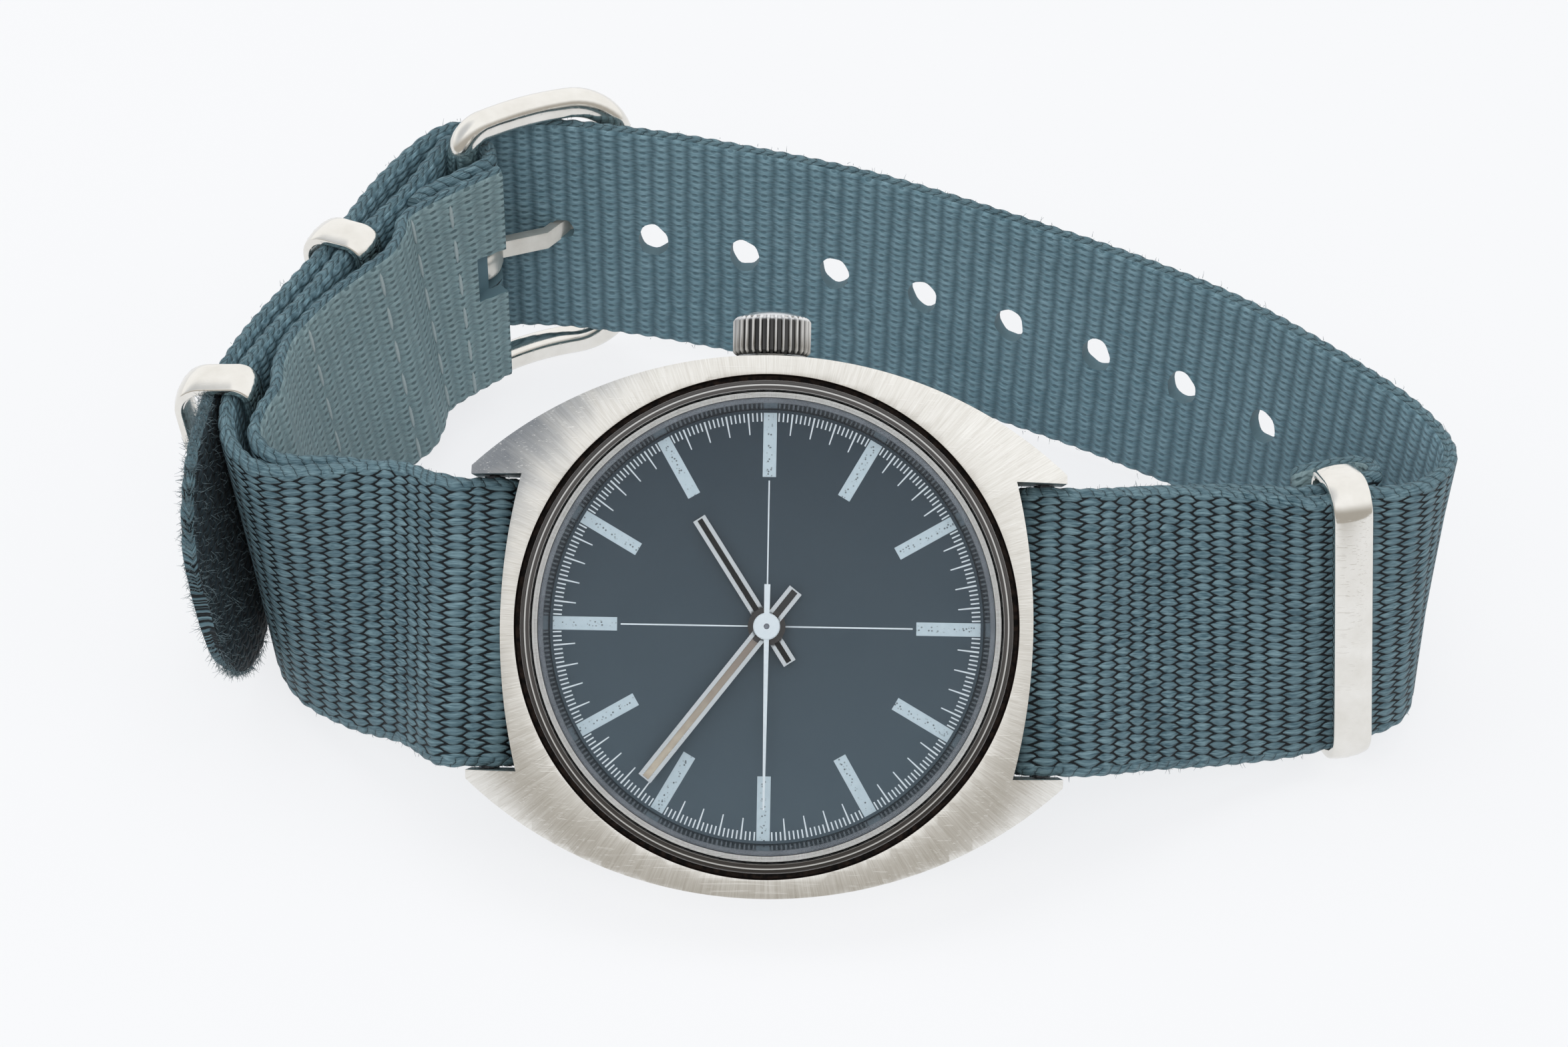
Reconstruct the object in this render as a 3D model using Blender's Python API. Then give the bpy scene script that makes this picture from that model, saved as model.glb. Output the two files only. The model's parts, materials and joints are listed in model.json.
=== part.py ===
"""Hand-wound wrist watch on a woven pass-through strap, lying on its nine o'clock side, strap buckled."""
import math

import bmesh
import bpy
from mathutils import Matrix, Vector

for thing in list(bpy.data.objects):
    bpy.data.objects.remove(thing, do_unlink=True)

# Every size is in millimetres and turned into metres by MM when a mesh is made.
# Heights on the head are counted from the dial's upper face, towards the wearer's eye.
MM = 0.001

# Crystal, and the polished ring that holds it
CRYSTAL_RADIUS = 16.2
CRYSTAL_WALL = 0.4
CRYSTAL_EDGE = 1.9           # height where the dome starts
CRYSTAL_DOME = 1.5           # rise of the dome
CRYSTAL_THICKNESS = 1.0
FIT_GAP = 0.05
HOLDING_RING_WALL = 0.8
HOLDING_RING_RISE = 0.15     # its top above the case
RING_GROOVE = 0.4            # open groove between that ring and the case
TENSION_RING_WALL = 0.75
TENSION_RING_HEIGHT = 1.4
DIAL_HOLE = 1.05

# Movement's size, which sets the bore of the case
MOVEMENT_RADIUS = 12.9
HOLDER_WALL = 1.0            # ring of room for the movement's holder

# Case
OPENING_RADIUS = CRYSTAL_RADIUS + FIT_GAP + HOLDING_RING_WALL + RING_GROOVE
FLANK_RIM = 1.3              # top face beside the opening at three and nine o'clock
CASE_WIDTH = 2 * (OPENING_RADIUS + FLANK_RIM)
LUG_REACH = 2.05             # lug tips beyond a circle of the case's width
CASE_LENGTH = CASE_WIDTH + 2 * LUG_REACH
FLANK_RADIUS = 31.5          # curve of the two long flanks in plan
CASE_TOP = 1.3               # top face beside the crystal
CASE_DEPTH = 6.0             # dial face down to the case's underside
LUG_FALL = 2.5               # how far the top face falls towards the lug tips
CASE_BEVEL = 0.35
CASE_FOOT_BEVEL = 0.7
BORE_RADIUS = MOVEMENT_RADIUS + HOLDER_WALL
DIAL_THICKNESS = 0.4
END_INSET = 2.4              # middle of the case edge between two lugs, in from the lug tips
END_REACH = CASE_LENGTH / 2 - END_INSET
END_RADIUS = 43.0            # curve of that edge
WALL_INSET = 1.5             # case wall behind the spring bars, in from that edge
STRAP_WALL = END_REACH - WALL_INSET
RIM_DEPTH = 1.9              # underside of the rim that overhangs the strap
HEAD_LEAN = 45.0             # degrees from lying on the back to standing on the edge

# Strap and its fittings
STRAP_WIDTH = 20.0
STRAP_THICKNESS = 1.2
LAYER_GAP = 0.25
BEND_GAP = 0.4               # extra room between the layers where the long strap bends at the end keeper
LUG_SIDE_GAP = 0.3
BAR_INSET = 1.4              # spring bars, in from the lug tips
BAR_X = CASE_LENGTH / 2 - BAR_INSET
BAR_Z = -4.1
BAR_RADIUS = 0.75
BAR_TIP_RADIUS = 0.38
BAR_TIP_LENGTH = 1.0
BAR_STRAP_GAP = 0.12
HOLE_RADIUS = 1.15
HOLE_PITCH = 7.5
HOLE_COUNT = 12
HOLES_ON_TAIL = 3            # holes between the tongue and the tail's end
HOLE_IN_USE_LENGTH = 4.0     # the hole on the tongue is pulled long and wide
HOLE_IN_USE_RADIUS = 1.4
ROD = 2.4                    # buckle rod, diameter
BUCKLE_REACH = 13.8          # pivot side to far side, rod centres
BUCKLE_SIDE_GAP = 0.4
BUCKLE_CORNER = 2.8
TONGUE_WIDTH = 1.6
TONGUE_THICKNESS = 0.9
TONGUE_RUN_GAP = 0.1
TONGUE_SLOT = 3.4
TONGUE_FROM_ROD = 8.4         # where the tongue passes through the strap
KEEPER_BAND = 3.0
KEEPER_THICKNESS = 1.2
KEEPER_SIDE_GAP = 0.5
KEEPER_SLACK = 1.2           # room left over the tail
KEEPER_CORNER = 1.2
TILT_ROOM = 0.3              # lift that keeps the leaning rings off the floor
KEEPER_SEAT = 0.35           # a sewn-in bar under the strap it holds
RING_GAP = 0.5               # strap wrapped around the end keeper's bar
SEAT_GAP = 0.1
FOLD_GAP = 0.35              # strap folded around the buckle rod
FAR_BAR_GAP = 0.6            # strap under the buckle's far side
SEAT_HALF = 8.0               # half length of the flat strap under the head that lies on the wrist
KEEPER_BULGE = 1.7           # inner layer stands off over a sewn-in keeper bar

# Hands
HOUR_REACH = 8.8
HOUR_TAIL = 3.0
HOUR_WIDTH = 0.95
MINUTE_REACH = 13.4
MINUTE_TAIL = 3.2
MINUTE_WIDTH = 1.05
SECOND_REACH = 12.6
SECOND_TAIL = 2.9
SECOND_WIDTH = 0.26
HAND_THICKNESS = 0.18
HOUR_LEVEL = 0.5
MINUTE_LEVEL = 0.95
SECOND_LEVEL = 1.4
HAND_HUB = 0.93
HOUR_ANGLE = 56.9            # degrees clockwise from twelve
MINUTE_ANGLE = 307.8
SECOND_ANGLE = 270.0

# Nested tubes at the dial's centre, outside radii
SECOND_ARBOR = 0.15
CENTER_TUBE = 0.34
CANNON_TUBE = 0.56
HOUR_PIPE = 0.82
TUBE_GAP = 0.05

# Crown and stem
CROWN_RADIUS = 2.75
CROWN_LENGTH = 2.7
CROWN_DOME = 0.45
CROWN_FLUTES = 30
FLUTE_DEPTH = 0.24
CROWN_CASE_GAP = 0.3
CROWN_RECESS = 1.75
CROWN_RECESS_DEPTH = 1.4
STEM_LEVEL = -3.3
STEM_RADIUS = 0.5
STEM_INNER_END = 9.6
TUBE_RADIUS = 1.1
TUBE_STEP = 0.95             # how far the tube stands out of the flank
PINION_TEETH = 8
FACE_TEETH = 16              # upright teeth of the crown wheel
PINION_LENGTH = 0.8

# Movement
HOLDER_GAP = 0.1
PLATE_TOP = -1.5
PLATE_THICKNESS = 1.0
PLATE_RIM = 11.8
BRIDGE_TOP = -5.5
BRIDGE_THICKNESS = 0.6
BARREL_BRIDGE_TOP = -4.2
BARREL_BRIDGE_THICKNESS = 0.65
PIVOT_RADIUS = 0.2
PIVOT_GAP = 0.05
FOOT_RADIUS = 0.9
SCREW_HEAD = 0.7
SCREW_SHANK = 0.4
WHEEL_THICKNESS = 0.2

# Going train: tooth counts, and the module of the first wheel of each pair
TOOTH_TIP = 0.8              # tooth tip above and root below the pitch circle, in modules
TOOTH_ROOT = -1.2
BARREL_TEETH = 72
CENTER_LEAVES = 12
BARREL_MODULE = 0.15
CENTER_TEETH = 64
THIRD_LEAVES = 8
CENTER_MODULE = 0.12
THIRD_TEETH = 60
FOURTH_LEAVES = 8
FOURTH_TEETH = 70
ESCAPE_LEAVES = 7
FOURTH_MODULE = 0.11
CANNON_TEETH = 12
MINUTE_WHEEL_TEETH = 36
MINUTE_LEAVES = 10
HOUR_TEETH = 40
CANNON_MODULE = 0.125
RATCHET_TEETH = 44
CROWN_WHEEL_TEETH = 24
WINDING_MODULE = 0.18
BARREL_BEARING = 135.0       # directions from the dial's centre, degrees from six towards three o'clock
THIRD_BEARING = 285.0
MINUTE_WHEEL_BEARING = 60.0
BARREL_DRUM = 5.0
BARREL_TOP = -2.65
BARREL_HEIGHT = 1.35
ARBOR_RADIUS = 0.5
BALANCE_RADIUS = 3.4
BALANCE_RIM = 0.5
ESCAPE_RADIUS = 2.0
ESCAPE_TEETH = 15

# Case back
BACK_SCREW_RADIUS = BORE_RADIUS + 0.5
BACK_RADIUS = BACK_SCREW_RADIUS + 0.8
BACK_FACE_RADIUS = BACK_RADIUS - 1.8
BACK_OUTER = -7.6
BACK_PLATE = 1.0
BACK_SCREW_TOP = -5.2
BACK_NOTCHES = 6
GASKET = 0.3

LEAN = math.radians(HEAD_LEAN)
FOOT_Y = CASE_WIDTH / 2 - CASE_FOOT_BEVEL
DIAL_HEIGHT = FOOT_Y * math.sin(LEAN) + CASE_DEPTH * math.cos(LEAN)
FLOOR_LEVEL = -DIAL_THICKNESS - FIT_GAP
LUG_GAP = STRAP_WIDTH + 2 * LUG_SIDE_GAP
LAYER = STRAP_THICKNESS + LAYER_GAP
RING_LAYER = LAYER + BEND_GAP


def make_material(name, colour, metallic, roughness, alpha=1.0):
    material = bpy.data.materials.new(name)
    material.use_nodes = True
    shader = material.node_tree.nodes["Principled BSDF"]
    shader.inputs["Base Color"].default_value = (*colour, 1.0)
    shader.inputs["Metallic"].default_value = metallic
    shader.inputs["Roughness"].default_value = roughness
    shader.inputs["Alpha"].default_value = alpha
    return material


STEEL = make_material("case_steel", (0.55, 0.54, 0.52), 1.0, 0.35)
POLISHED = make_material("polished_steel", (0.72, 0.71, 0.69), 1.0, 0.12)
ACRYLIC = make_material("clear_acrylic", (0.9, 0.92, 0.93), 0.0, 0.03, 0.25)
CHARCOAL = make_material("dial_charcoal", (0.045, 0.05, 0.06), 0.0, 0.6)
HANDS = make_material("hand_steel", (0.7, 0.69, 0.66), 1.0, 0.25)
NYLON = make_material("strap_nylon", (0.06, 0.11, 0.135), 0.0, 0.85)
BRASS = make_material("train_brass", (0.72, 0.55, 0.25), 1.0, 0.3)
NICKEL = make_material("plate_nickel", (0.62, 0.61, 0.58), 1.0, 0.35)
SPRING = make_material("spring_steel", (0.3, 0.32, 0.36), 1.0, 0.3)
RUBBER = make_material("gasket_rubber", (0.02, 0.02, 0.02), 0.0, 0.8)


def make_empty(name, parent=None, location=(0, 0, 0), turn=(0, 0, 0)):
    empty = bpy.data.objects.new(name, None)
    bpy.context.collection.objects.link(empty)
    empty.parent = parent
    empty.location = Vector(location) * MM
    empty.rotation_euler = turn
    return empty


ROOT = make_empty("watch_root")
HEAD = make_empty("watch_head", ROOT, (0, 0, DIAL_HEIGHT), (LEAN, 0, 0))


def make_object(name, bm, material, parent=HEAD, location=(0, 0, 0), turn=(0, 0, 0), smooth=True):
    bmesh.ops.recalc_face_normals(bm, faces=bm.faces)
    for vert in bm.verts:
        vert.co *= MM
    for face in bm.faces:
        face.smooth = smooth
    mesh = bpy.data.meshes.new(name)
    bm.to_mesh(mesh)
    bm.free()
    mesh.materials.append(material)
    made = bpy.data.objects.new(name, mesh)
    bpy.context.collection.objects.link(made)
    made.parent = parent
    made.location = Vector(location) * MM
    made.rotation_euler = turn
    return made


def add_boolean(target, bm, operation, location=None, turn=None):
    """Cut a second body out of the target, or join it on; by default it sits in the target's own frame."""
    cutter = make_object(f"{target.name}.{operation.lower()}", bm, target.data.materials[0],
                         target.parent, smooth=False)
    cutter.location = target.location if location is None else Vector(location) * MM
    cutter.rotation_euler = target.rotation_euler if turn is None else turn
    cutter.hide_render = True
    cutter.display_type = 'WIRE'
    modifier = target.modifiers.new(operation.lower(), 'BOOLEAN')
    modifier.operation = operation
    modifier.solver = 'EXACT'
    modifier.object = cutter
    return target


def lathe(outline, sides, low_angle=0.13):
    """Turn a closed outline of (radius, height) points about the vertical axis."""
    bm = bmesh.new()
    angles = [low_angle + math.tau * k / sides for k in range(sides)]
    rings = []
    for radius, height in outline:
        on_axis = radius < 1e-9
        rings.append(None if on_axis else [bm.verts.new((radius * math.cos(a), radius * math.sin(a),
                                                         height)) for a in angles])
    count = len(outline)
    for k in range(count):
        after = (k + 1) % count
        ring, following = rings[k], rings[after]
        if ring and following:
            for m in range(sides):
                n = (m + 1) % sides
                bm.faces.new((ring[m], ring[n], following[n], following[m]))
        elif ring or following:
            rim = ring or following
            level = outline[after if ring else k][1]
            if abs(rim[0].co.z - level) < 1e-9:
                bm.faces.new(rim)
                continue
            tip = bm.verts.new((0, 0, level))
            for m in range(sides):
                bm.faces.new((rim[m], rim[(m + 1) % sides], tip))
    return bm


def cylinder(radius, low, high, sides):
    return lathe([(0, low), (radius, low), (radius, high), (0, high)], sides)


def tube(inner, outer, low, high, sides):
    return lathe([(inner, low), (outer, low), (outer, high), (inner, high)], sides)


def loft(loops, closed=False):
    """Skin a row of loops that have the same number of points; an open row gets flat ends."""
    bm = bmesh.new()
    rows = [[bm.verts.new(point) for point in loop] for loop in loops]
    count = len(rows[0])
    pairs = list(zip(rows, rows[1:]))
    if closed:
        pairs.append((rows[-1], rows[0]))
    for row, following in pairs:
        for k in range(count):
            after = (k + 1) % count
            bm.faces.new((row[k], row[after], following[after], following[k]))
    if not closed:
        bm.faces.new(rows[0])
        bm.faces.new(rows[-1][::-1])
    return bm


def flat_faced(bm):
    bmesh.ops.triangulate(bm, faces=bm.faces)
    return bm


def prism(outline, low, high):
    return loft([[(x, y, low) for x, y in outline], [(x, y, high) for x, y in outline]])


def box(x_low, x_high, y_low, y_high, z_low, z_high):
    return prism([(x_low, y_low), (x_high, y_low), (x_high, y_high), (x_low, y_high)], z_low, z_high)


def gear_outline(teeth, module, first_angle):
    """Straight-flanked teeth with running clearance; a tooth's tip lies at first_angle."""
    pitch_radius = module * teeth / 2
    points = []
    for k in range(2 * teeth):
        length = pitch_radius + (TOOTH_ROOT if k % 2 else TOOTH_TIP) * module
        angle = first_angle + math.pi * k / teeth
        points.append((length * math.cos(angle), length * math.sin(angle)))
    return points


def bearing(distance, degrees):
    angle = math.radians(degrees)
    return Vector((distance * math.cos(angle), distance * math.sin(angle), 0))


def pair_distance(first, second, module):
    return module * (first + second) / 2


# Places of the arbors on the movement
BARREL_AT = bearing(pair_distance(BARREL_TEETH, CENTER_LEAVES, BARREL_MODULE), BARREL_BEARING)
THIRD_AT = bearing(pair_distance(CENTER_TEETH, THIRD_LEAVES, CENTER_MODULE), THIRD_BEARING)
THIRD_MODULE = 2 * THIRD_AT.length / (THIRD_TEETH + FOURTH_LEAVES)
ESCAPE_AT = bearing(pair_distance(FOURTH_TEETH, ESCAPE_LEAVES, FOURTH_MODULE), 0.0)
PALLET_AT = ESCAPE_AT + bearing(ESCAPE_RADIUS + 0.45, 65.0)
BALANCE_AT = PALLET_AT + bearing(3.4, 35.0)
MINUTE_WHEEL_AT = bearing(pair_distance(CANNON_TEETH, MINUTE_WHEEL_TEETH, CANNON_MODULE),
                          MINUTE_WHEEL_BEARING)
HOUR_MODULE = 2 * MINUTE_WHEEL_AT.length / (MINUTE_LEAVES + HOUR_TEETH)
WINDING_DISTANCE = pair_distance(RATCHET_TEETH, CROWN_WHEEL_TEETH, WINDING_MODULE)
CROWN_WHEEL_AT = Vector((0, BARREL_AT.y + math.sqrt(WINDING_DISTANCE ** 2 - BARREL_AT.x ** 2), 0))


# Mid case
def outline_radius(angle):
    """Distance from the dial's centre to the plan outline, before the lug gaps are cut."""
    rise = FLANK_RADIUS - CASE_WIDTH / 2
    side = abs(math.sin(angle))
    along = abs(math.cos(angle))
    flank = -rise * side + math.sqrt(FLANK_RADIUS ** 2 - rise ** 2 * (1 - side ** 2))
    return min(flank, CASE_LENGTH / 2 / along) if along > 1e-6 else flank


def top_height(radius):
    reach = CASE_LENGTH / 2 * 1.13 - OPENING_RADIUS
    return CASE_TOP - LUG_FALL * (max(radius - OPENING_RADIUS, 0) / reach) ** 2


def case_blank():
    rise = FLANK_RADIUS - CASE_WIDTH / 2
    corner_y = math.sqrt(FLANK_RADIUS ** 2 - (CASE_LENGTH / 2) ** 2) - rise
    corner = math.atan2(corner_y, CASE_LENGTH / 2)
    corners = [corner, math.pi - corner, math.pi + corner, -corner % math.tau]
    angles = [math.tau * k / 60 for k in range(60)]
    angles = [angle for angle in angles if min(abs(angle - corner) for corner in corners) > 0.02] + corners
    loops = [[], [], [], [], []]
    for angle in sorted(angles):
        radius = outline_radius(angle)
        ring = [(radius - CASE_FOOT_BEVEL, -CASE_DEPTH), (radius, -CASE_DEPTH + CASE_FOOT_BEVEL)]
        ring += [(radius, top_height(radius) - CASE_BEVEL), (radius - CASE_BEVEL,
                                                             top_height(radius - CASE_BEVEL))]
        ring += [(OPENING_RADIUS - 1, CASE_TOP)]
        for loop, (distance, height) in zip(loops, ring):
            loop.append((distance * math.cos(angle), distance * math.sin(angle), height))
    return flat_faced(loft(loops))


mid_case = make_object("mid_case", case_blank(), STEEL, smooth=False)
bore = [(0, 5), (OPENING_RADIUS, 5), (OPENING_RADIUS, FLOOR_LEVEL), (BORE_RADIUS, FLOOR_LEVEL)]
bore += [(BORE_RADIUS, BACK_SCREW_TOP + FIT_GAP), (BACK_SCREW_RADIUS + FIT_GAP, BACK_SCREW_TOP + FIT_GAP)]
bore += [(BACK_SCREW_RADIUS + FIT_GAP, -12), (0, -12)]
add_boolean(mid_case, lathe(bore, 48), 'DIFFERENCE')


def lug_gap(end):
    """Room between two lugs: under the rim the curved edge gives way to a straight wall set further in."""
    bm = bmesh.new()
    half = LUG_GAP / 2
    rows = [[], [], [], []]
    for k in range(9):
        y = half * (k - 4) / 4
        rim = END_REACH - END_RADIUS + math.sqrt(END_RADIUS ** 2 - y ** 2)
        for row, x, z in zip(rows, (STRAP_WALL, STRAP_WALL, rim, rim), (-20, -RIM_DEPTH, -RIM_DEPTH, 20)):
            row.append(bm.verts.new((end * x, y, z)))
    far = [[bm.verts.new((end * 30, y, z)) for y in (-half, half)] for z in (-20, 20)]
    for row, following in zip(rows, rows[1:]):
        for k in range(8):
            bm.faces.new((row[k], row[k + 1], following[k + 1], following[k]))
    for k, side in ((0, 0), (-1, 1)):
        bm.faces.new([row[k] for row in rows] + [far[1][side], far[0][side]])
    bm.faces.new(far[0] + far[1][::-1])
    bm.faces.new(rows[0] + far[0][::-1])
    bm.faces.new(rows[3] + far[1][::-1])
    return bm


for end in (-1, 1):
    half = LUG_GAP / 2
    add_boolean(mid_case, lug_gap(end), 'DIFFERENCE')
    hole_reach = half + BAR_TIP_LENGTH + FIT_GAP
    hole = cylinder(BAR_TIP_RADIUS + FIT_GAP, -hole_reach, hole_reach, 10)
    add_boolean(mid_case, hole, 'DIFFERENCE', (end * BAR_X, 0, BAR_Z), (math.pi / 2, 0, 0))
FLANK_Y = CASE_WIDTH / 2
tube_hole = cylinder(TUBE_RADIUS + FIT_GAP, BORE_RADIUS - 2, FLANK_Y + 3, 16)
add_boolean(mid_case, tube_hole, 'DIFFERENCE', (0, 0, STEM_LEVEL), (-math.pi / 2, 0, 0))

# Spring bars
for name, end in (("spring_bar_12", -1), ("spring_bar_6", 1)):
    shoulder = LUG_GAP / 2 - FIT_GAP
    tip = LUG_GAP / 2 + BAR_TIP_LENGTH
    profile = [(0, -tip), (BAR_TIP_RADIUS, -tip), (BAR_TIP_RADIUS, -shoulder), (BAR_RADIUS, -shoulder)]
    profile += [(radius, -height) for radius, height in profile[::-1]]
    make_object(name, lathe(profile, 14), POLISHED, HEAD, (end * BAR_X, 0, BAR_Z), (math.pi / 2, 0, 0))

# Case back with its sealing ring
back_floor = BACK_OUTER + BACK_PLATE
profile = [(0, BACK_OUTER), (BACK_FACE_RADIUS, BACK_OUTER), (BACK_RADIUS, -CASE_DEPTH - GASKET - 0.5)]
profile += [(BACK_RADIUS, -CASE_DEPTH - GASKET - FIT_GAP), (BACK_SCREW_RADIUS,
                                                            -CASE_DEPTH - GASKET - FIT_GAP)]
profile += [(BACK_SCREW_RADIUS, BACK_SCREW_TOP), (BACK_SCREW_RADIUS - 1.1, BACK_SCREW_TOP)]
profile += [(BACK_SCREW_RADIUS - 1.1, back_floor), (0, back_floor)]
case_back = make_object("case_back", lathe(profile, 40), STEEL)
for k in range(BACK_NOTCHES):
    notch = box(BACK_FACE_RADIUS - 1.6, BACK_FACE_RADIUS - 0.4, -0.8, 0.8, BACK_OUTER - 1,
                BACK_OUTER + 0.45)
    add_boolean(case_back, notch, 'DIFFERENCE', turn=(0, 0, math.tau * (k + 0.5) / BACK_NOTCHES))
seal = tube(BACK_SCREW_RADIUS + 2 * FIT_GAP, BACK_RADIUS - 0.1, -CASE_DEPTH - GASKET,
            -CASE_DEPTH - FIT_GAP / 2, 40)
make_object("case_back_gasket", seal, RUBBER)

# Crystal: a skirt that stands on the case floor and a dome
skirt = CRYSTAL_RADIUS - CRYSTAL_WALL
outer = [(CRYSTAL_RADIUS, FLOOR_LEVEL + FIT_GAP), (CRYSTAL_RADIUS, CRYSTAL_EDGE - 0.25)]
outer += [(CRYSTAL_RADIUS - 0.2, CRYSTAL_EDGE + 0.05)]
inner = [(skirt, FLOOR_LEVEL + FIT_GAP), (skirt, CRYSTAL_EDGE - CRYSTAL_THICKNESS * 0.75)]
for k in range(1, 4):
    part = k / 3
    height = CRYSTAL_DOME * (1 - (1 - part) ** 2)
    outer.append(((CRYSTAL_RADIUS - 0.2) * (1 - part), CRYSTAL_EDGE + 0.05 + height))
    inner.append((skirt * (1 - part), CRYSTAL_EDGE - CRYSTAL_THICKNESS * 0.75 + height))
make_object("crystal", lathe(outer + inner[::-1], 40), ACRYLIC)

# Polished ring around the crystal, in the case's opening
ring_inner = CRYSTAL_RADIUS + FIT_GAP
ring_outer = ring_inner + HOLDING_RING_WALL
ring_top = CASE_TOP + HOLDING_RING_RISE
bevel = HOLDING_RING_WALL / 8
profile = [(ring_inner, FLOOR_LEVEL + FIT_GAP), (ring_outer, FLOOR_LEVEL + FIT_GAP),
           (ring_outer, ring_top - bevel)]
profile += [(ring_outer - bevel, ring_top), (ring_inner + bevel, ring_top), (ring_inner, ring_top - bevel)]
make_object("holding_ring", lathe(profile, 40), POLISHED)

# Tension ring inside the crystal's edge, then the dial
ring_outer = skirt - FIT_GAP
ring_top = TENSION_RING_HEIGHT - CRYSTAL_THICKNESS * 0.3
profile = [(ring_outer - TENSION_RING_WALL, FIT_GAP), (ring_outer, FIT_GAP), (ring_outer, ring_top)]
profile += [(ring_outer - TENSION_RING_WALL * 0.45, ring_top)]
make_object("tension_ring", lathe(profile, 40), POLISHED)
dial_radius = ring_outer - FIT_GAP
make_object("dial", tube(DIAL_HOLE, dial_radius, -DIAL_THICKNESS, 0, 40), CHARCOAL)


# Hands
def make_hand(name, reach, tail, width, level, bore_radius, angle, tip):
    outline = [(-tail, -width / 2), (reach - tip, -width / 2), (reach, -width * 0.12),
               (reach, width * 0.12)]
    outline += [(reach - tip, width / 2), (-tail, width / 2)]
    turn = (0, 0, math.radians(180 - angle))
    hand = make_object(name, prism(outline, level, level + HAND_THICKNESS), HANDS, turn=turn, smooth=False)
    add_boolean(hand, cylinder(HAND_HUB, level - 0.02, level + HAND_THICKNESS + 0.02, 14), 'UNION')
    if bore_radius:
        add_boolean(hand, cylinder(bore_radius, level - 1, level + 1, 12), 'DIFFERENCE')
    return hand


make_hand("hour_hand", HOUR_REACH, HOUR_TAIL, HOUR_WIDTH, HOUR_LEVEL, HOUR_PIPE + TUBE_GAP / 2,
          HOUR_ANGLE, 0.5)
make_hand("minute_hand", MINUTE_REACH, MINUTE_TAIL, MINUTE_WIDTH, MINUTE_LEVEL, CANNON_TUBE + TUBE_GAP / 2,
          MINUTE_ANGLE, 0.6)
make_hand("second_hand", SECOND_REACH, SECOND_TAIL, SECOND_WIDTH, SECOND_LEVEL, 0, SECOND_ANGLE, 0.2)

# Movement holder and main plate
holder = tube(MOVEMENT_RADIUS + HOLDER_GAP, BORE_RADIUS - HOLDER_GAP, BACK_SCREW_TOP + 0.2,
              FLOOR_LEVEL - FIT_GAP, 40)
movement_ring = make_object("movement_ring", holder, NICKEL)
stem_way = cylinder(STEM_RADIUS + 0.3, 8, 20, 12)
add_boolean(movement_ring, stem_way, 'DIFFERENCE', (0, 0, STEM_LEVEL), (-math.pi / 2, 0, 0))
plate_low = PLATE_TOP - PLATE_THICKNESS
profile = [(0, plate_low), (MOVEMENT_RADIUS, plate_low), (MOVEMENT_RADIUS, FLOOR_LEVEL),
           (PLATE_RIM, FLOOR_LEVEL)]
profile += [(PLATE_RIM, PLATE_TOP), (0, PLATE_TOP)]
main_plate = make_object("main_plate", lathe(profile, 32), BRASS)
add_boolean(main_plate, cylinder(CENTER_TUBE + TUBE_GAP, -5, 0, 14), 'DIFFERENCE')
for spot, radius in ((THIRD_AT, PIVOT_RADIUS), (ESCAPE_AT, PIVOT_RADIUS), (PALLET_AT, PIVOT_RADIUS),
                     (BALANCE_AT, PIVOT_RADIUS), (MINUTE_WHEEL_AT, PIVOT_RADIUS), (BARREL_AT,
                                                                                   ARBOR_RADIUS)):
    add_boolean(main_plate, cylinder(radius + PIVOT_GAP, -5, 0, 8), 'DIFFERENCE', spot)
keyless = box(-2.2, 2.2, CROWN_WHEEL_AT.y - 0.4, MOVEMENT_RADIUS + 1, plate_low - 1, PLATE_TOP + 0.2)
add_boolean(main_plate, keyless, 'DIFFERENCE')


# Bridges: flat plates on feet that stand on the main plate
def make_bridge(name, outline, top, thickness, feet, pivots):
    bridge = make_object(name, prism(outline, top - thickness, top), NICKEL, smooth=False)
    for spot in feet:
        add_boolean(bridge, cylinder(FOOT_RADIUS, top - thickness / 2, plate_low - FIT_GAP, 12), 'UNION',
                    spot)
        add_boolean(bridge, cylinder(SCREW_SHANK + FIT_GAP, top - 3, plate_low + 1, 10), 'DIFFERENCE', spot)
        add_boolean(main_plate, cylinder(SCREW_SHANK + FIT_GAP, plate_low - 1, plate_low + 0.7, 10),
                    'DIFFERENCE', spot)
    for spot, radius in pivots:
        add_boolean(bridge, cylinder(radius + PIVOT_GAP, top - 3, top + 1, 12), 'DIFFERENCE', spot)
    return bridge


def make_screw(name, spot, head_top, shank_end, head=SCREW_HEAD, shank=SCREW_SHANK):
    profile = [(0, head_top - 0.35), (head, head_top - 0.35), (head, head_top), (shank, head_top)]
    profile += [(shank, shank_end), (0, shank_end)]
    screw = make_object(name, lathe(profile, 8), SPRING, HEAD, spot)
    slot = box(-2, 2, -0.09, 0.09, head_top - 1, head_top - 0.2)
    add_boolean(screw, slot, 'DIFFERENCE')
    return screw


def arc(radius, first, last, steps):
    points = [bearing(radius, first + (last - first) * k / steps) for k in range(steps + 1)]
    return [(point.x, point.y) for point in points]


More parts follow.
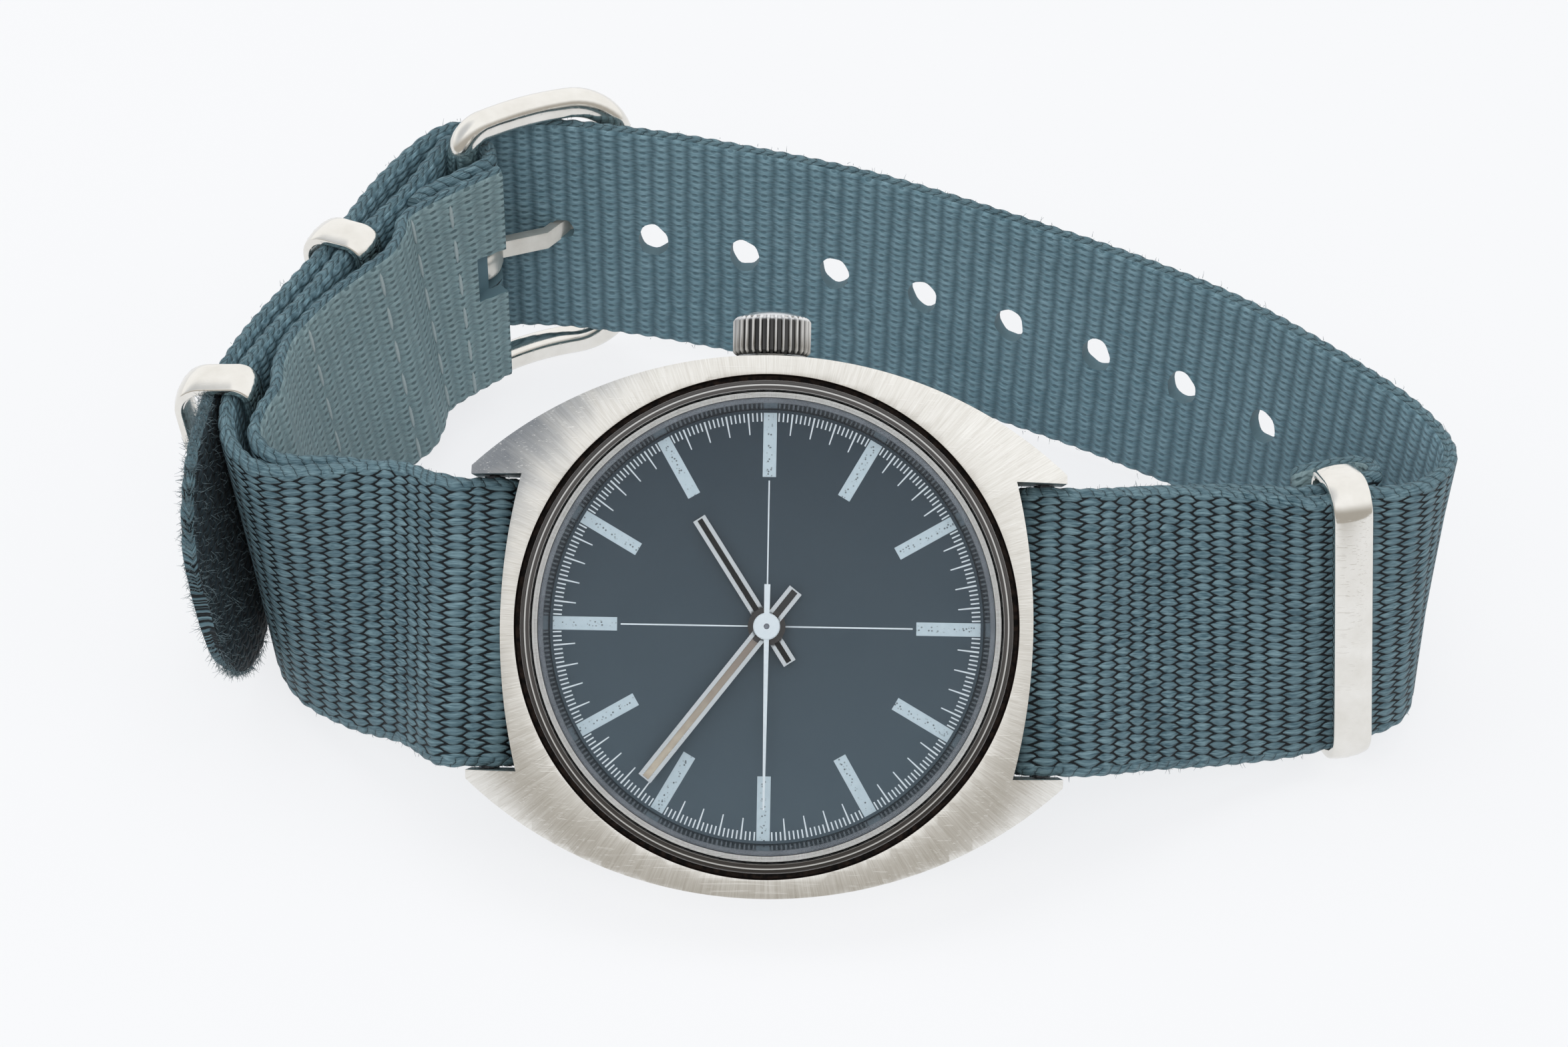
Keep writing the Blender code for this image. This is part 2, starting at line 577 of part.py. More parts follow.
BRIDGE_EDGE = MOVEMENT_RADIUS - 0.4
FOOT_RING = MOVEMENT_RADIUS - 1.7
barrel_feet = [bearing(FOOT_RING + 0.4, 106), bearing(FOOT_RING, 190)]
outline = arc(BRIDGE_EDGE, 100, 198, 9) + arc(4.4, 186, 150, 3) + arc(3.9, 126, 112, 2)
outline += [CROWN_WHEEL_AT.xy + Vector(step) for step in ((0.9, -1.0), (0.9, 0.6), (-2.1, 0.6))]
barrel_bridge = make_bridge("barrel_bridge", outline, BARREL_BRIDGE_TOP, BARREL_BRIDGE_THICKNESS,
                            barrel_feet,
                            [(BARREL_AT, ARBOR_RADIUS)])
train_feet = [bearing(FOOT_RING, 344), bearing(FOOT_RING, 217)]
outline = arc(BRIDGE_EDGE, -152, -9, 11) + [(5.4, -0.5), (4.7, 1.0), (1.0, 1.3), (-1.2, 1.1)]
train_bridge = make_bridge("train_bridge", outline, BRIDGE_TOP, BRIDGE_THICKNESS, train_feet,
                           [(THIRD_AT, PIVOT_RADIUS), (Vector((0, 0, 0)), SECOND_ARBOR),
                            (ESCAPE_AT, PIVOT_RADIUS)])
cock_foot = bearing(FOOT_RING, 52)
beside = (cock_foot - BALANCE_AT).normalized()
aside = Vector((-beside.y, beside.x, 0))
outline = []
for spot, along, out in ((cock_foot, 1.1, 1.2), (cock_foot, 0.2, 1.9), (BALANCE_AT, 0.2, 1.1),
                         (BALANCE_AT, -1.0, 0.6)):
    outline.append(spot + beside * along + aside * out)
outline += [spot + beside * along - aside * out for spot, along, out in
            ((BALANCE_AT, -1.0, 0.6), (BALANCE_AT, 0.2, 1.1), (cock_foot, 0.2, 1.9), (cock_foot, 1.1, 1.2))]
make_bridge("balance_cock", [(p.x, p.y) for p in outline], BRIDGE_TOP, BRIDGE_THICKNESS, [cock_foot],
            [(BALANCE_AT, PIVOT_RADIUS)])
pallet_foot = PALLET_AT + bearing(2.9, 130)
beside = (pallet_foot - PALLET_AT).normalized() * 0.55
aside = Vector((-beside.y, beside.x, 0))
corners = [PALLET_AT - beside - aside, pallet_foot + beside - aside, pallet_foot + beside + aside]
corners.append(PALLET_AT - beside + aside)
PALLET_BRIDGE_TOP = -3.65
pallet_bridge = make_object("pallet_bridge", prism([(p.x, p.y) for p in corners], -3.95,
                                                   PALLET_BRIDGE_TOP), NICKEL,
                            smooth=False)
add_boolean(pallet_bridge, cylinder(0.5, -3.8, plate_low - FIT_GAP, 10), 'UNION', pallet_foot)
add_boolean(pallet_bridge, cylinder(PIVOT_RADIUS + PIVOT_GAP, -5, -3, 10), 'DIFFERENCE', PALLET_AT)
bridge_low = BRIDGE_TOP - BRIDGE_THICKNESS - FIT_GAP
barrel_low = BARREL_BRIDGE_TOP - BARREL_BRIDGE_THICKNESS - FIT_GAP
for k, spot in enumerate(barrel_feet):
    make_screw(f"barrel_bridge_screw_{k + 1}", spot, barrel_low, plate_low + 0.6)
for k, spot in enumerate(train_feet):
    make_screw(f"train_bridge_screw_{k + 1}", spot, bridge_low, plate_low + 0.6, SCREW_HEAD - 0.1)
make_screw("balance_cock_screw", cock_foot, bridge_low, plate_low + 0.6, SCREW_HEAD - 0.1)


# Wheels: a toothed disc, a pinion and an arbor on one axis
def make_wheel(name, spot, disc, pinion=None, arbor=None, bore_radius=0.0, material=BRASS):
    outline, low, high = disc
    wheel = make_object(name, prism(outline, low, high), material, HEAD, spot, smooth=False)
    if pinion:
        add_boolean(wheel, prism(*pinion), 'UNION')
    if arbor:
        add_boolean(wheel, cylinder(*arbor, 12), 'UNION')
    if bore_radius:
        add_boolean(wheel, cylinder(bore_radius, -9, 5, 12), 'DIFFERENCE')
    return wheel


def facing(spot, target=Vector((0, 0, 0))):
    step = target - spot
    return math.atan2(step.y, step.x)


def gap_at(teeth, angle):
    return angle + math.pi / teeth


# Center wheel: meshes with the barrel and the third pinion, and carries the minute hand
center_low = -4.3
to_third = facing(Vector((0, 0, 0)), THIRD_AT)
to_barrel = facing(Vector((0, 0, 0)), BARREL_AT)
to_minute = facing(Vector((0, 0, 0)), MINUTE_WHEEL_AT)
center_wheel = make_wheel("center_wheel", (0, 0, 0),
                          (gear_outline(CENTER_TEETH, CENTER_MODULE, to_third), center_low,
                           center_low + WHEEL_THICKNESS),
                          (gear_outline(CENTER_LEAVES, BARREL_MODULE, to_barrel), center_low + 0.1,
                           BARREL_TOP),
                          (CENTER_TUBE, center_low - 0.1, MINUTE_LEVEL
                           + HAND_THICKNESS), SECOND_ARBOR + TUBE_GAP)
make_wheel("cannon_pinion", (0, 0, 0),
           (gear_outline(CANNON_TEETH, CANNON_MODULE, to_minute), PLATE_TOP + FIT_GAP, PLATE_TOP + 0.35),
           None, (CANNON_TUBE, PLATE_TOP + 0.1, MINUTE_LEVEL + HAND_THICKNESS
                  + 0.1), CENTER_TUBE + TUBE_GAP / 2, SPRING)
make_wheel("hour_wheel", (0, 0, 0),
           (gear_outline(HOUR_TEETH, HOUR_MODULE, to_minute), -1.0, -1.0 + WHEEL_THICKNESS),
           None, (HOUR_PIPE, -0.95, HOUR_LEVEL + HAND_THICKNESS + 0.05), CANNON_TUBE + TUBE_GAP)
from_minute = facing(MINUTE_WHEEL_AT)
make_wheel("minute_wheel", MINUTE_WHEEL_AT,
           (gear_outline(MINUTE_WHEEL_TEETH, CANNON_MODULE, gap_at(MINUTE_WHEEL_TEETH, from_minute)),
            PLATE_TOP + FIT_GAP, PLATE_TOP + FIT_GAP + WHEEL_THICKNESS),
           (gear_outline(MINUTE_LEAVES, HOUR_MODULE, gap_at(MINUTE_LEAVES, from_minute)),
            PLATE_TOP + 0.15, -0.7),
           (PIVOT_RADIUS, PLATE_TOP - 0.4, -0.55))
# Third and fourth wheels
third_low = -4.78
from_third = facing(THIRD_AT)
make_wheel("third_wheel", THIRD_AT,
           (gear_outline(THIRD_TEETH, THIRD_MODULE, from_third), third_low,
            third_low + WHEEL_THICKNESS * 0.9),
           (gear_outline(THIRD_LEAVES, CENTER_MODULE, gap_at(THIRD_LEAVES, from_third)), third_low + 0.1,
            -4.0),
           (PIVOT_RADIUS, BRIDGE_TOP - 0.3, plate_low + 0.4))
fourth_low = -5.1
to_escape = facing(Vector((0, 0, 0)), ESCAPE_AT)
make_wheel("fourth_wheel", (0, 0, 0),
           (gear_outline(FOURTH_TEETH, FOURTH_MODULE, to_escape), fourth_low, fourth_low + WHEEL_THICKNESS),
           (gear_outline(FOURTH_LEAVES, THIRD_MODULE, gap_at(FOURTH_LEAVES, to_third)), fourth_low + 0.1,
            -4.48),
           (SECOND_ARBOR, BRIDGE_TOP - 0.3, SECOND_LEVEL - FIT_GAP))
# Escapement
escape_points = []
for k in range(ESCAPE_TEETH):
    step = math.tau / ESCAPE_TEETH
    for radius, part in ((ESCAPE_RADIUS - 0.4, 0.0), (ESCAPE_RADIUS, 0.42), (ESCAPE_RADIUS - 0.4, 0.5)):
        escape_points.append((radius * math.cos((k + part) * step), radius * math.sin((k + part) * step)))
ESCAPE_LOW = -3.5
make_wheel("escape_wheel", ESCAPE_AT, (escape_points, ESCAPE_LOW, ESCAPE_LOW + WHEEL_THICKNESS),
           (gear_outline(ESCAPE_LEAVES, FOURTH_MODULE, gap_at(ESCAPE_LEAVES, math.pi)), fourth_low - 0.1,
            -4.82),
           (PIVOT_RADIUS, BRIDGE_TOP - 0.3, plate_low + 0.4), material=SPRING)
to_balance = BALANCE_AT - PALLET_AT
to_wheel = (ESCAPE_AT - PALLET_AT).normalized()
lever = to_balance.normalized()
across_lever = Vector((-lever.y, lever.x, 0))
reach = to_balance.length - 1.0
outline = [lever * reach + across_lever * 0.4, lever * (reach - 0.5) + across_lever * 0.18,
           across_lever * 0.3]
beyond = Vector((-to_wheel.y, to_wheel.x, 0))
outline += [to_wheel * 0.5 + beyond * -1.25, to_wheel * 0.55 + beyond * -0.98, to_wheel * 0.22]
outline += [to_wheel * 0.55 + beyond * 0.98, to_wheel * 0.5 + beyond * 1.25, across_lever * -0.3]
outline += [lever * (reach - 0.5) - across_lever * 0.18, lever * reach - across_lever * 0.4]
outline += [lever * reach - across_lever * 0.15, lever * (reach - 0.25),
            lever * reach + across_lever * 0.15]
pallet_fork = make_wheel("pallet_fork", PALLET_AT,
                         ([(p.x, p.y) for p in outline], ESCAPE_LOW, ESCAPE_LOW + WHEEL_THICKNESS), None,
                         (PIVOT_RADIUS, -3.85, plate_low + 0.4), material=SPRING)
# Balance and its spring
rim = tube(BALANCE_RADIUS - BALANCE_RIM, BALANCE_RADIUS, -4.42, -4.05, 24)
balance_wheel = make_object("balance_wheel", rim, BRASS, HEAD, BALANCE_AT)
arm = BALANCE_RADIUS - BALANCE_RIM / 2
add_boolean(balance_wheel, box(-arm, arm, -0.3, 0.3, -4.38, -4.12), 'UNION')
staff = [(0, BRIDGE_TOP - 0.3), (PIVOT_RADIUS, BRIDGE_TOP - 0.3), (PIVOT_RADIUS, -4.6), (0.55, -4.6),
         (0.55, -3.86)]
staff += [(0.9, -3.86), (0.9, -3.66), (PIVOT_RADIUS, -3.66), (PIVOT_RADIUS, plate_low + 0.4),
          (0, plate_low + 0.4)]
add_boolean(balance_wheel, lathe(staff, 14), 'UNION')


def spiral(first_radius, last_radius, turns, wall, low, high, per_turn):
    loops = []
    count = int(turns * per_turn)
    for k in range(count + 1):
        angle = math.tau * k / per_turn
        radius = first_radius + (last_radius - first_radius) * k / count
        c, s = math.cos(angle), math.sin(angle)
        near, far = radius - wall / 2, radius + wall / 2
        loops.append([(near * c, near * s, low), (far * c, far * s, low), (far * c, far * s, high),
                      (near * c, near * s, high)])
    return loft(loops)


make_object("hairspring", spiral(PIVOT_RADIUS + 0.35, 2.6, 4.2, 0.07, -5.2, -4.95, 12), SPRING, HEAD,
            BALANCE_AT)

# Barrel, its lid, arbor and mainspring
barrel_end = BARREL_TOP - BARREL_HEIGHT
from_barrel = facing(BARREL_AT)
barrel = make_wheel("barrel", BARREL_AT,
                    (gear_outline(BARREL_TEETH, BARREL_MODULE, gap_at(BARREL_TEETH, from_barrel)),
                     BARREL_TOP - 0.4, BARREL_TOP))
add_boolean(barrel, cylinder(BARREL_DRUM, barrel_end, BARREL_TOP - 0.1, 32), 'UNION')
add_boolean(barrel, cylinder(BARREL_DRUM - 0.25, barrel_end - 1, BARREL_TOP - 0.2, 32), 'DIFFERENCE')
add_boolean(barrel, cylinder(ARBOR_RADIUS + PIVOT_GAP, barrel_end - 1, BARREL_TOP + 1, 14), 'DIFFERENCE')
lid = tube(ARBOR_RADIUS + PIVOT_GAP, BARREL_DRUM - 0.25 - FIT_GAP, barrel_end, barrel_end + 0.16, 32)
make_object("barrel_lid", lid, BRASS, HEAD, BARREL_AT)
WINDING_LOW = -5.45
WINDING_TOP = WINDING_LOW + 0.25
hub = [(0, WINDING_LOW), (ARBOR_RADIUS, WINDING_LOW), (ARBOR_RADIUS, barrel_end + 0.22),
       (1.2, barrel_end + 0.22)]
hub += [(1.2, BARREL_TOP - 0.26), (ARBOR_RADIUS, BARREL_TOP - 0.26), (ARBOR_RADIUS, plate_low + 0.4),
        (0, plate_low + 0.4)]
make_object("barrel_arbor", lathe(hub, 16), SPRING, HEAD, BARREL_AT)
coil = spiral(1.2 + 0.2, BARREL_DRUM - 0.45, 4.0, 0.16, barrel_end + 0.24, BARREL_TOP - 0.28, 12)
make_object("mainspring", coil, SPRING, HEAD, BARREL_AT)

# Winding work: ratchet wheel on the arbor, crown wheel with upright teeth, winding pinion on the stem
to_crown_wheel = facing(BARREL_AT, CROWN_WHEEL_AT)
ratchet = make_wheel("ratchet_wheel", BARREL_AT,
                     (gear_outline(RATCHET_TEETH, WINDING_MODULE, to_crown_wheel), WINDING_LOW,
                      WINDING_TOP),
                     bore_radius=ARBOR_RADIUS + FIT_GAP / 2, material=SPRING)
from_crown_wheel = facing(CROWN_WHEEL_AT, BARREL_AT)
crown_wheel = make_wheel("crown_wheel", CROWN_WHEEL_AT,
                         (gear_outline(CROWN_WHEEL_TEETH, WINDING_MODULE,
                                       gap_at(CROWN_WHEEL_TEETH, from_crown_wheel)),
                          WINDING_LOW, WINDING_TOP), bore_radius=SCREW_SHANK + PIVOT_GAP, material=SPRING)
CROWN_TEETH_TOP = barrel_low - FIT_GAP
face_radius = WINDING_MODULE * CROWN_WHEEL_TEETH / 2 - 0.1
add_boolean(crown_wheel, tube(face_radius - 0.35, face_radius, WINDING_LOW + 0.1, CROWN_TEETH_TOP, 24),
            'UNION')
for k in range(FACE_TEETH // 2):
    gap = box(-face_radius - 1, face_radius + 1, -0.2, 0.2, WINDING_TOP + 0.02, CROWN_TEETH_TOP + 1)
    turn = math.pi / 2 + math.pi * (k + 0.5) * 2 / FACE_TEETH
    add_boolean(crown_wheel, gap, 'DIFFERENCE', turn=(0, 0, turn))
make_screw("crown_wheel_screw", CROWN_WHEEL_AT, WINDING_LOW - FIT_GAP, BARREL_BRIDGE_TOP - 0.1)
add_boolean(barrel_bridge, cylinder(SCREW_SHANK + FIT_GAP / 2, -9, BARREL_BRIDGE_TOP + 1, 10),
            'DIFFERENCE', CROWN_WHEEL_AT)
make_screw("ratchet_screw", BARREL_AT, WINDING_LOW - FIT_GAP, WINDING_LOW - FIT_GAP - 0.1, 0.9, 0.3)
pinion_radius = STEM_LEVEL - CROWN_TEETH_TOP - 0.02
pinion_at = (0, CROWN_WHEEL_AT.y + face_radius - 0.18, STEM_LEVEL)
along_stem = (-math.pi / 2, 0, 0)
pinion_module = pinion_radius / (PINION_TEETH / 2 + TOOTH_TIP)
pinion_outline = gear_outline(PINION_TEETH, pinion_module, math.pi / 2)
winding_pinion = make_object("winding_pinion", prism(pinion_outline, -PINION_LENGTH / 2,
                                                     PINION_LENGTH / 2), SPRING, HEAD,
                             pinion_at, along_stem, smooth=False)
add_boolean(winding_pinion, cylinder(STEM_RADIUS + PIVOT_GAP, -2, 2, 12), 'DIFFERENCE')
# Click: a pawl that rests in a gap of the ratchet wheel
click_direction = 199.0
ratchet_tip = WINDING_MODULE * (RATCHET_TEETH / 2 + TOOTH_TIP)
click_at = BARREL_AT + bearing(ratchet_tip + 0.85, click_direction)
inward = (BARREL_AT - click_at).normalized()
sideways = Vector((-inward.y, inward.x, 0))
outline = [sideways * -0.55 - inward * 0.3, inward * 0.3 - sideways * 0.5, sideways * 0.9 + inward * 0.35]
outline += [sideways * 1.55 + inward * 0.93, sideways * 1.7 + inward * 0.7, sideways * 1.1 - inward * 0.35]
click = make_wheel("click", click_at, ([(p.x, p.y) for p in outline], WINDING_LOW, WINDING_TOP), None,
                   (PIVOT_RADIUS, WINDING_LOW - 0.1, BARREL_BRIDGE_TOP - 0.2), material=SPRING)
add_boolean(barrel_bridge, cylinder(PIVOT_RADIUS + PIVOT_GAP, -9, BARREL_BRIDGE_TOP + 1, 10),
            'DIFFERENCE', click_at)

# Crown, stem, tube and crown seal, all about the stem's axis
TUBE_END = FLANK_Y + TUBE_STEP
tube_bore = STEM_RADIUS + 0.12
make_object("crown_tube", tube(tube_bore, TUBE_RADIUS, BORE_RADIUS + 0.1, TUBE_END, 16), STEEL, HEAD,
            (0, 0, STEM_LEVEL), along_stem)
crown_at = FLANK_Y + CROWN_CASE_GAP
loops = []
bevel = 0.25
levels = [(0.0, -bevel), (bevel, 0.0), (CROWN_LENGTH - bevel, 0.0), (CROWN_LENGTH, -bevel)]
for height, change in levels:
    loop = []
    for k in range(2 * CROWN_FLUTES):
        radius = CROWN_RADIUS + change - (FLUTE_DEPTH if k % 2 else 0)
        angle = math.pi * k / CROWN_FLUTES
        loop.append((radius * math.cos(angle), radius * math.sin(angle), height))
    loops.append(loop)
for part in (0.78, 0.4):
    radius = CROWN_RADIUS * part
    height = CROWN_LENGTH + CROWN_DOME * (1 - part ** 2)
    angles = [math.pi * k / CROWN_FLUTES for k in range(2 * CROWN_FLUTES)]
    loops.append([(radius * math.cos(angle), radius * math.sin(angle), height) for angle in angles])
crown = make_object("crown", loft(loops), STEEL, HEAD, (0, crown_at, STEM_LEVEL), along_stem)
add_boolean(crown, cylinder(CROWN_RECESS, -1, CROWN_RECESS_DEPTH, 20), 'DIFFERENCE')
stem = cylinder(STEM_RADIUS, STEM_INNER_END - crown_at, CROWN_RECESS_DEPTH - FIT_GAP, 12)
make_object("winding_stem", stem, SPRING, HEAD, (0, crown_at, STEM_LEVEL), along_stem)
seal = tube(TUBE_RADIUS + FIT_GAP, CROWN_RECESS - FIT_GAP, 0.1, 0.55, 16)
make_object("crown_gasket", seal, RUBBER, HEAD, (0, crown_at, STEM_LEVEL), along_stem)


# Strap: a band that is ruled across its width and follows a route of stations
HEAD_MATRIX = Matrix.Translation((0, 0, DIAL_HEIGHT)) @ Matrix.Rotation(LEAN, 4, 'X')


def station(x, y, lift, lean_x, lean_y):
    """Middle of the strap and its direction across, from its lower edge's place and upper edge's lean."""
    rise = math.sqrt(STRAP_WIDTH ** 2 - lean_x ** 2 - lean_y ** 2)
    across = Vector((lean_x, lean_y, rise))
    return Vector((x, y, lift)) + across / 2, across.normalized()


def head_station(x, z):
    return HEAD_MATRIX @ Vector((x, 0, z)), HEAD_MATRIX.to_3x3() @ Vector((0, 1, 0))


def blend(points, part):
    a, b, c, d = points
    bend = (2 * a - 5 * b + 4 * c - d) * part ** 2 + (3 * b - a - 3 * c + d) * part ** 3
    return (2 * b + (c - a) * part + bend) / 2


def smooth_route(stations, spacing):
    """Frames (middle, along, across, outward) on a smooth curve through the stations."""
    padded = [stations[0]] + stations + [stations[-1]]
    places = []
    for k in range(len(stations) - 1):
        four = padded[k:k + 4]
        steps = max(1, round((four[2][0] - four[1][0]).length / spacing))
        for m in range(steps):
            places.append((blend([p[0] for p in four], m / steps),
                           blend([p[1] for p in four], m / steps).normalized()))
    places.append(stations[-1])
    frames = []
    for k, (middle, across) in enumerate(places):
        along = (places[min(k + 1, len(places) - 1)][0] - places[max(k - 1, 0)][0]).normalized()
        outward = along.cross(across).normalized()
        frames.append((middle, along, across, outward))
    return frames


def shifted(stations, amounts):
    """The same stations moved outwards by one amount each."""
    moved = []
    for k, (middle, across) in enumerate(stations):
        along = stations[min(k + 1, len(stations) - 1)][0] - stations[max(k - 1, 0)][0]
        moved.append((middle + along.cross(across).normalized() * amounts[k], across))
    return moved


def band(frames, width, thickness):
    loops = []
    for middle, along, across, outward in frames:
        corners = ((-1, -1), (1, -1), (1, 1), (-1, 1))
        loops.append([middle + across * (a * width / 2) + outward * (b * thickness / 2) for a,
                      b in corners])
    return flat_faced(loft(loops))


# Left side of the loop, from the buckle to the bend in front; the strap's outer leg runs along it
BUCKLE_LIFT = BUCKLE_SIDE_GAP + ROD + TILT_ROOM
KEEPER_LIFT = KEEPER_SIDE_GAP + KEEPER_THICKNESS + TILT_ROOM
LEFT_SIDE = [
    station(-26.8, 42.0, BUCKLE_LIFT - 0.4, -1.6, 0.3),
    station(-30.3, 35.7, KEEPER_LIFT + 0.1, -2.0, 0.2),
    station(-32.6, 30.3, KEEPER_LIFT, -2.2, 0.0),
    station(-35.0, 24.4, KEEPER_LIFT, -2.4, 0.4),
    station(-36.6, 17.8, KEEPER_LIFT + 0.1, -2.6, 1.2),
]
LEFT_FRONT = [
    station(-36.2, 11.4, KEEPER_LIFT - 0.2, -2.6, 2.6),
    station(-34.3, 7.0, KEEPER_LIFT - 0.2, -1.6, 4.0),
    station(-30.4, 3.2, 2.9, -0.7, 8.0),
    station(-26.0, -0.6, 5.4, -0.3, 12.2),
]
RIGHT_FRONT = [
    station(28.4, -1.9, 5.4, -0.3, 13.6),
    station(34.0, 0.8, 3.2, -0.6, 10.7),
    station(39.2, 2.8, 2.2, -1.2, 7.2),
]
RIGHT_BEND = [
    station(42.4, 3.7, KEEPER_LIFT + 0.6, -1.6, 6.5),
    station(46.8, 6.8, KEEPER_LIFT, -0.9, 4.2),
    station(47.8, 13.0, KEEPER_LIFT - 0.2, 0.8, 1.0),
    station(46.9, 18.3, 1.2, 0.8, 0.4),
    station(43.8, 23.0, 1.0, 0.4, 0.6),
]
BACK = [
    station(36.3, 30.5, 0.8, 0.2, 0.8),
    station(28.8, 35.4, 0.8, 0.2, 1.0),
    station(20.6, 39.6, 1.0, 0.1, 1.0),
    station(8.0, 44.8, 1.6, 0.1, 1.0),
    station(-3.8, 47.4, 2.3, 0.1, 1.2),
    station(-11.5, 48.3, BUCKLE_LIFT, 0.0, 1.0),
]

# Fold of the strap's end around the buckle rod
BUCKLE_AT, BUCKLE_UP = station(-24.6, 45.0, BUCKLE_LIFT, 0.0, 1.0)
FOLD_RADIUS = ROD / 2 + FOLD_GAP + STRAP_THICKNESS / 2
fold_along = (BUCKLE_AT - LEFT_SIDE[0][0])
fold_along = (fold_along - BUCKLE_UP * fold_along.dot(BUCKLE_UP)).normalized()
fold_out = BUCKLE_UP.cross(fold_along).normalized()
if fold_out.x > 0:
    fold_out = -fold_out


def around_rod(angle, radius):
    a = math.radians(angle)
    return BUCKLE_AT + fold_out * (radius * math.sin(a)) + fold_along * (radius * math.cos(a)), BUCKLE_UP


inner_left = shifted(LEFT_SIDE, [-LAYER] * len(LEFT_SIDE))
fold_end = [(inner_left[0][0].lerp(inner_left[1][0], 0.2), inner_left[0][1]), inner_left[0]]
fold = [around_rod(angle, FOLD_RADIUS) for angle in (-90, -55, -18, 18, 55, 90)]
OVER_BAR = BAR_RADIUS + BAR_STRAP_GAP + STRAP_THICKNESS / 2
UNDER_BACK = BACK_OUTER - 0.3 - STRAP_THICKNESS / 2


def lug_stations(end):
    """From the open strap over the spring bar and down behind it, to the case back."""
    rows = [(BAR_X + 3.4, BAR_Z + OVER_BAR - 0.35), (BAR_X + 1.0, BAR_Z + OVER_BAR - 0.1),
            (BAR_X, BAR_Z + OVER_BAR)]
    rows += [(BAR_X - OVER_BAR * 0.72, BAR_Z + OVER_BAR * 0.72), (BAR_X - OVER_BAR, BAR_Z)]
    rows += [(BAR_X - OVER_BAR - 0.15, BAR_Z - 1.9), (BAR_X - OVER_BAR - 1.2, BAR_Z - 3.6)]
    rows += [(BAR_X - OVER_BAR - 3.4, UNDER_BACK - 0.1), (BAR_X - OVER_BAR - 7.0, UNDER_BACK)]
    return [head_station(end * x, z) for x, z in rows]


TAIL_AT_ROD = FOLD_RADIUS + LAYER
tail_over_fold = [station(-18.6, 49.3, BUCKLE_LIFT, 0.0, 1.0), around_rod(40, TAIL_AT_ROD + 0.5),
                  around_rod(88, TAIL_AT_ROD)]
tail = shifted(LEFT_SIDE, [LAYER, LAYER, LAYER, LAYER, LAYER + 0.2])
TAIL_FREE = [station(-38.7, 11.4, KEEPER_LIFT, -2.7, 2.8), station(-37.4, 5.4, KEEPER_LIFT, -3.6, 2.6)]

route = fold_end + fold + LEFT_SIDE + LEFT_FRONT
route += lug_stations(-1) + lug_stations(1)[::-1] + RIGHT_FRONT + RIGHT_BEND + BACK
route += tail_over_fold + tail + TAIL_FREE
LONG_FRAMES = smooth_route(route, 2.8)
long_strap = make_object("long_strap", band(LONG_FRAMES, STRAP_WIDTH, STRAP_THICKNESS), NYLON, ROOT)

# Short strap: starts where the fold ends, runs inside the long strap and wraps around the end keeper's bar
def frame_near(place):
    return min(LONG_FRAMES, key=lambda frame: (frame[0] - place[0]).length)


def inside(first, last, base):
    """Places inside the long strap from one station to another; the layer stands off over a sewn-in bar."""
    start = LONG_FRAMES.index(frame_near(first))
    places = []
    for middle, along, across, outward in LONG_FRAMES[start:LONG_FRAMES.index(frame_near(last)) + 1]:
        near = min((middle - spot).length for spot in sewn_places)
        places.append((middle - outward * (base + KEEPER_BULGE * math.exp(-(near / 4) ** 2)), across))
    return places


sewn_places = [LEFT_SIDE[1][0], LEFT_SIDE[4][0]]
left_inner = inside(LEFT_SIDE[0], LEFT_FRONT[2], LAYER + 0.2)
left_inner = [(left_inner[0][0].lerp(left_inner[1][0], 0.8), left_inner[0][1])] + left_inner[1:]


def under_head(end):
    seat = UNDER_BACK - LAYER - 0.2
    rows = [(BAR_X + 1.6, BAR_Z - 3.2), (BAR_X - 2.6, UNDER_BACK - 1.3), (BAR_X - 7.0, seat),
            (SEAT_HALF, seat)]
    return [head_station(end * x, z) for x, z in rows]


right_inner = inside(RIGHT_FRONT[0], RIGHT_BEND[0], RING_LAYER)
ring_frame = frame_near(RIGHT_BEND[0])


def beside_ring(along_step, outward_step):
    middle, along, across, outward = ring_frame
    return middle + along * along_step + outward * outward_step, across


WRAP = KEEPER_THICKNESS / 2 + RING_GAP + STRAP_THICKNESS / 2
BAR_INSIDE = -(RING_LAYER + WRAP)
bar_edge = KEEPER_BAND / 2 - 0.2
wrap = [beside_ring(bar_edge, BAR_INSIDE + WRAP)]
for angle in (45, 0, -45, -90):
    a = math.radians(angle)
    wrap.append(beside_ring(bar_edge + WRAP * math.cos(a) * 1.15, BAR_INSIDE + WRAP * math.sin(a)))
wrap += [beside_ring(-bar_edge, BAR_INSIDE - WRAP)]
wrap += inside(RIGHT_FRONT[2], RIGHT_BEND[0], RING_LAYER + 2 * WRAP)[-2::-1]
route = left_inner + under_head(-1) + under_head(1)[::-1] + right_inner + wrap
SHORT_FRAMES = smooth_route(route, 2.4)
make_object("short_strap", band(SHORT_FRAMES, STRAP_WIDTH, STRAP_THICKNESS), NYLON, ROOT)


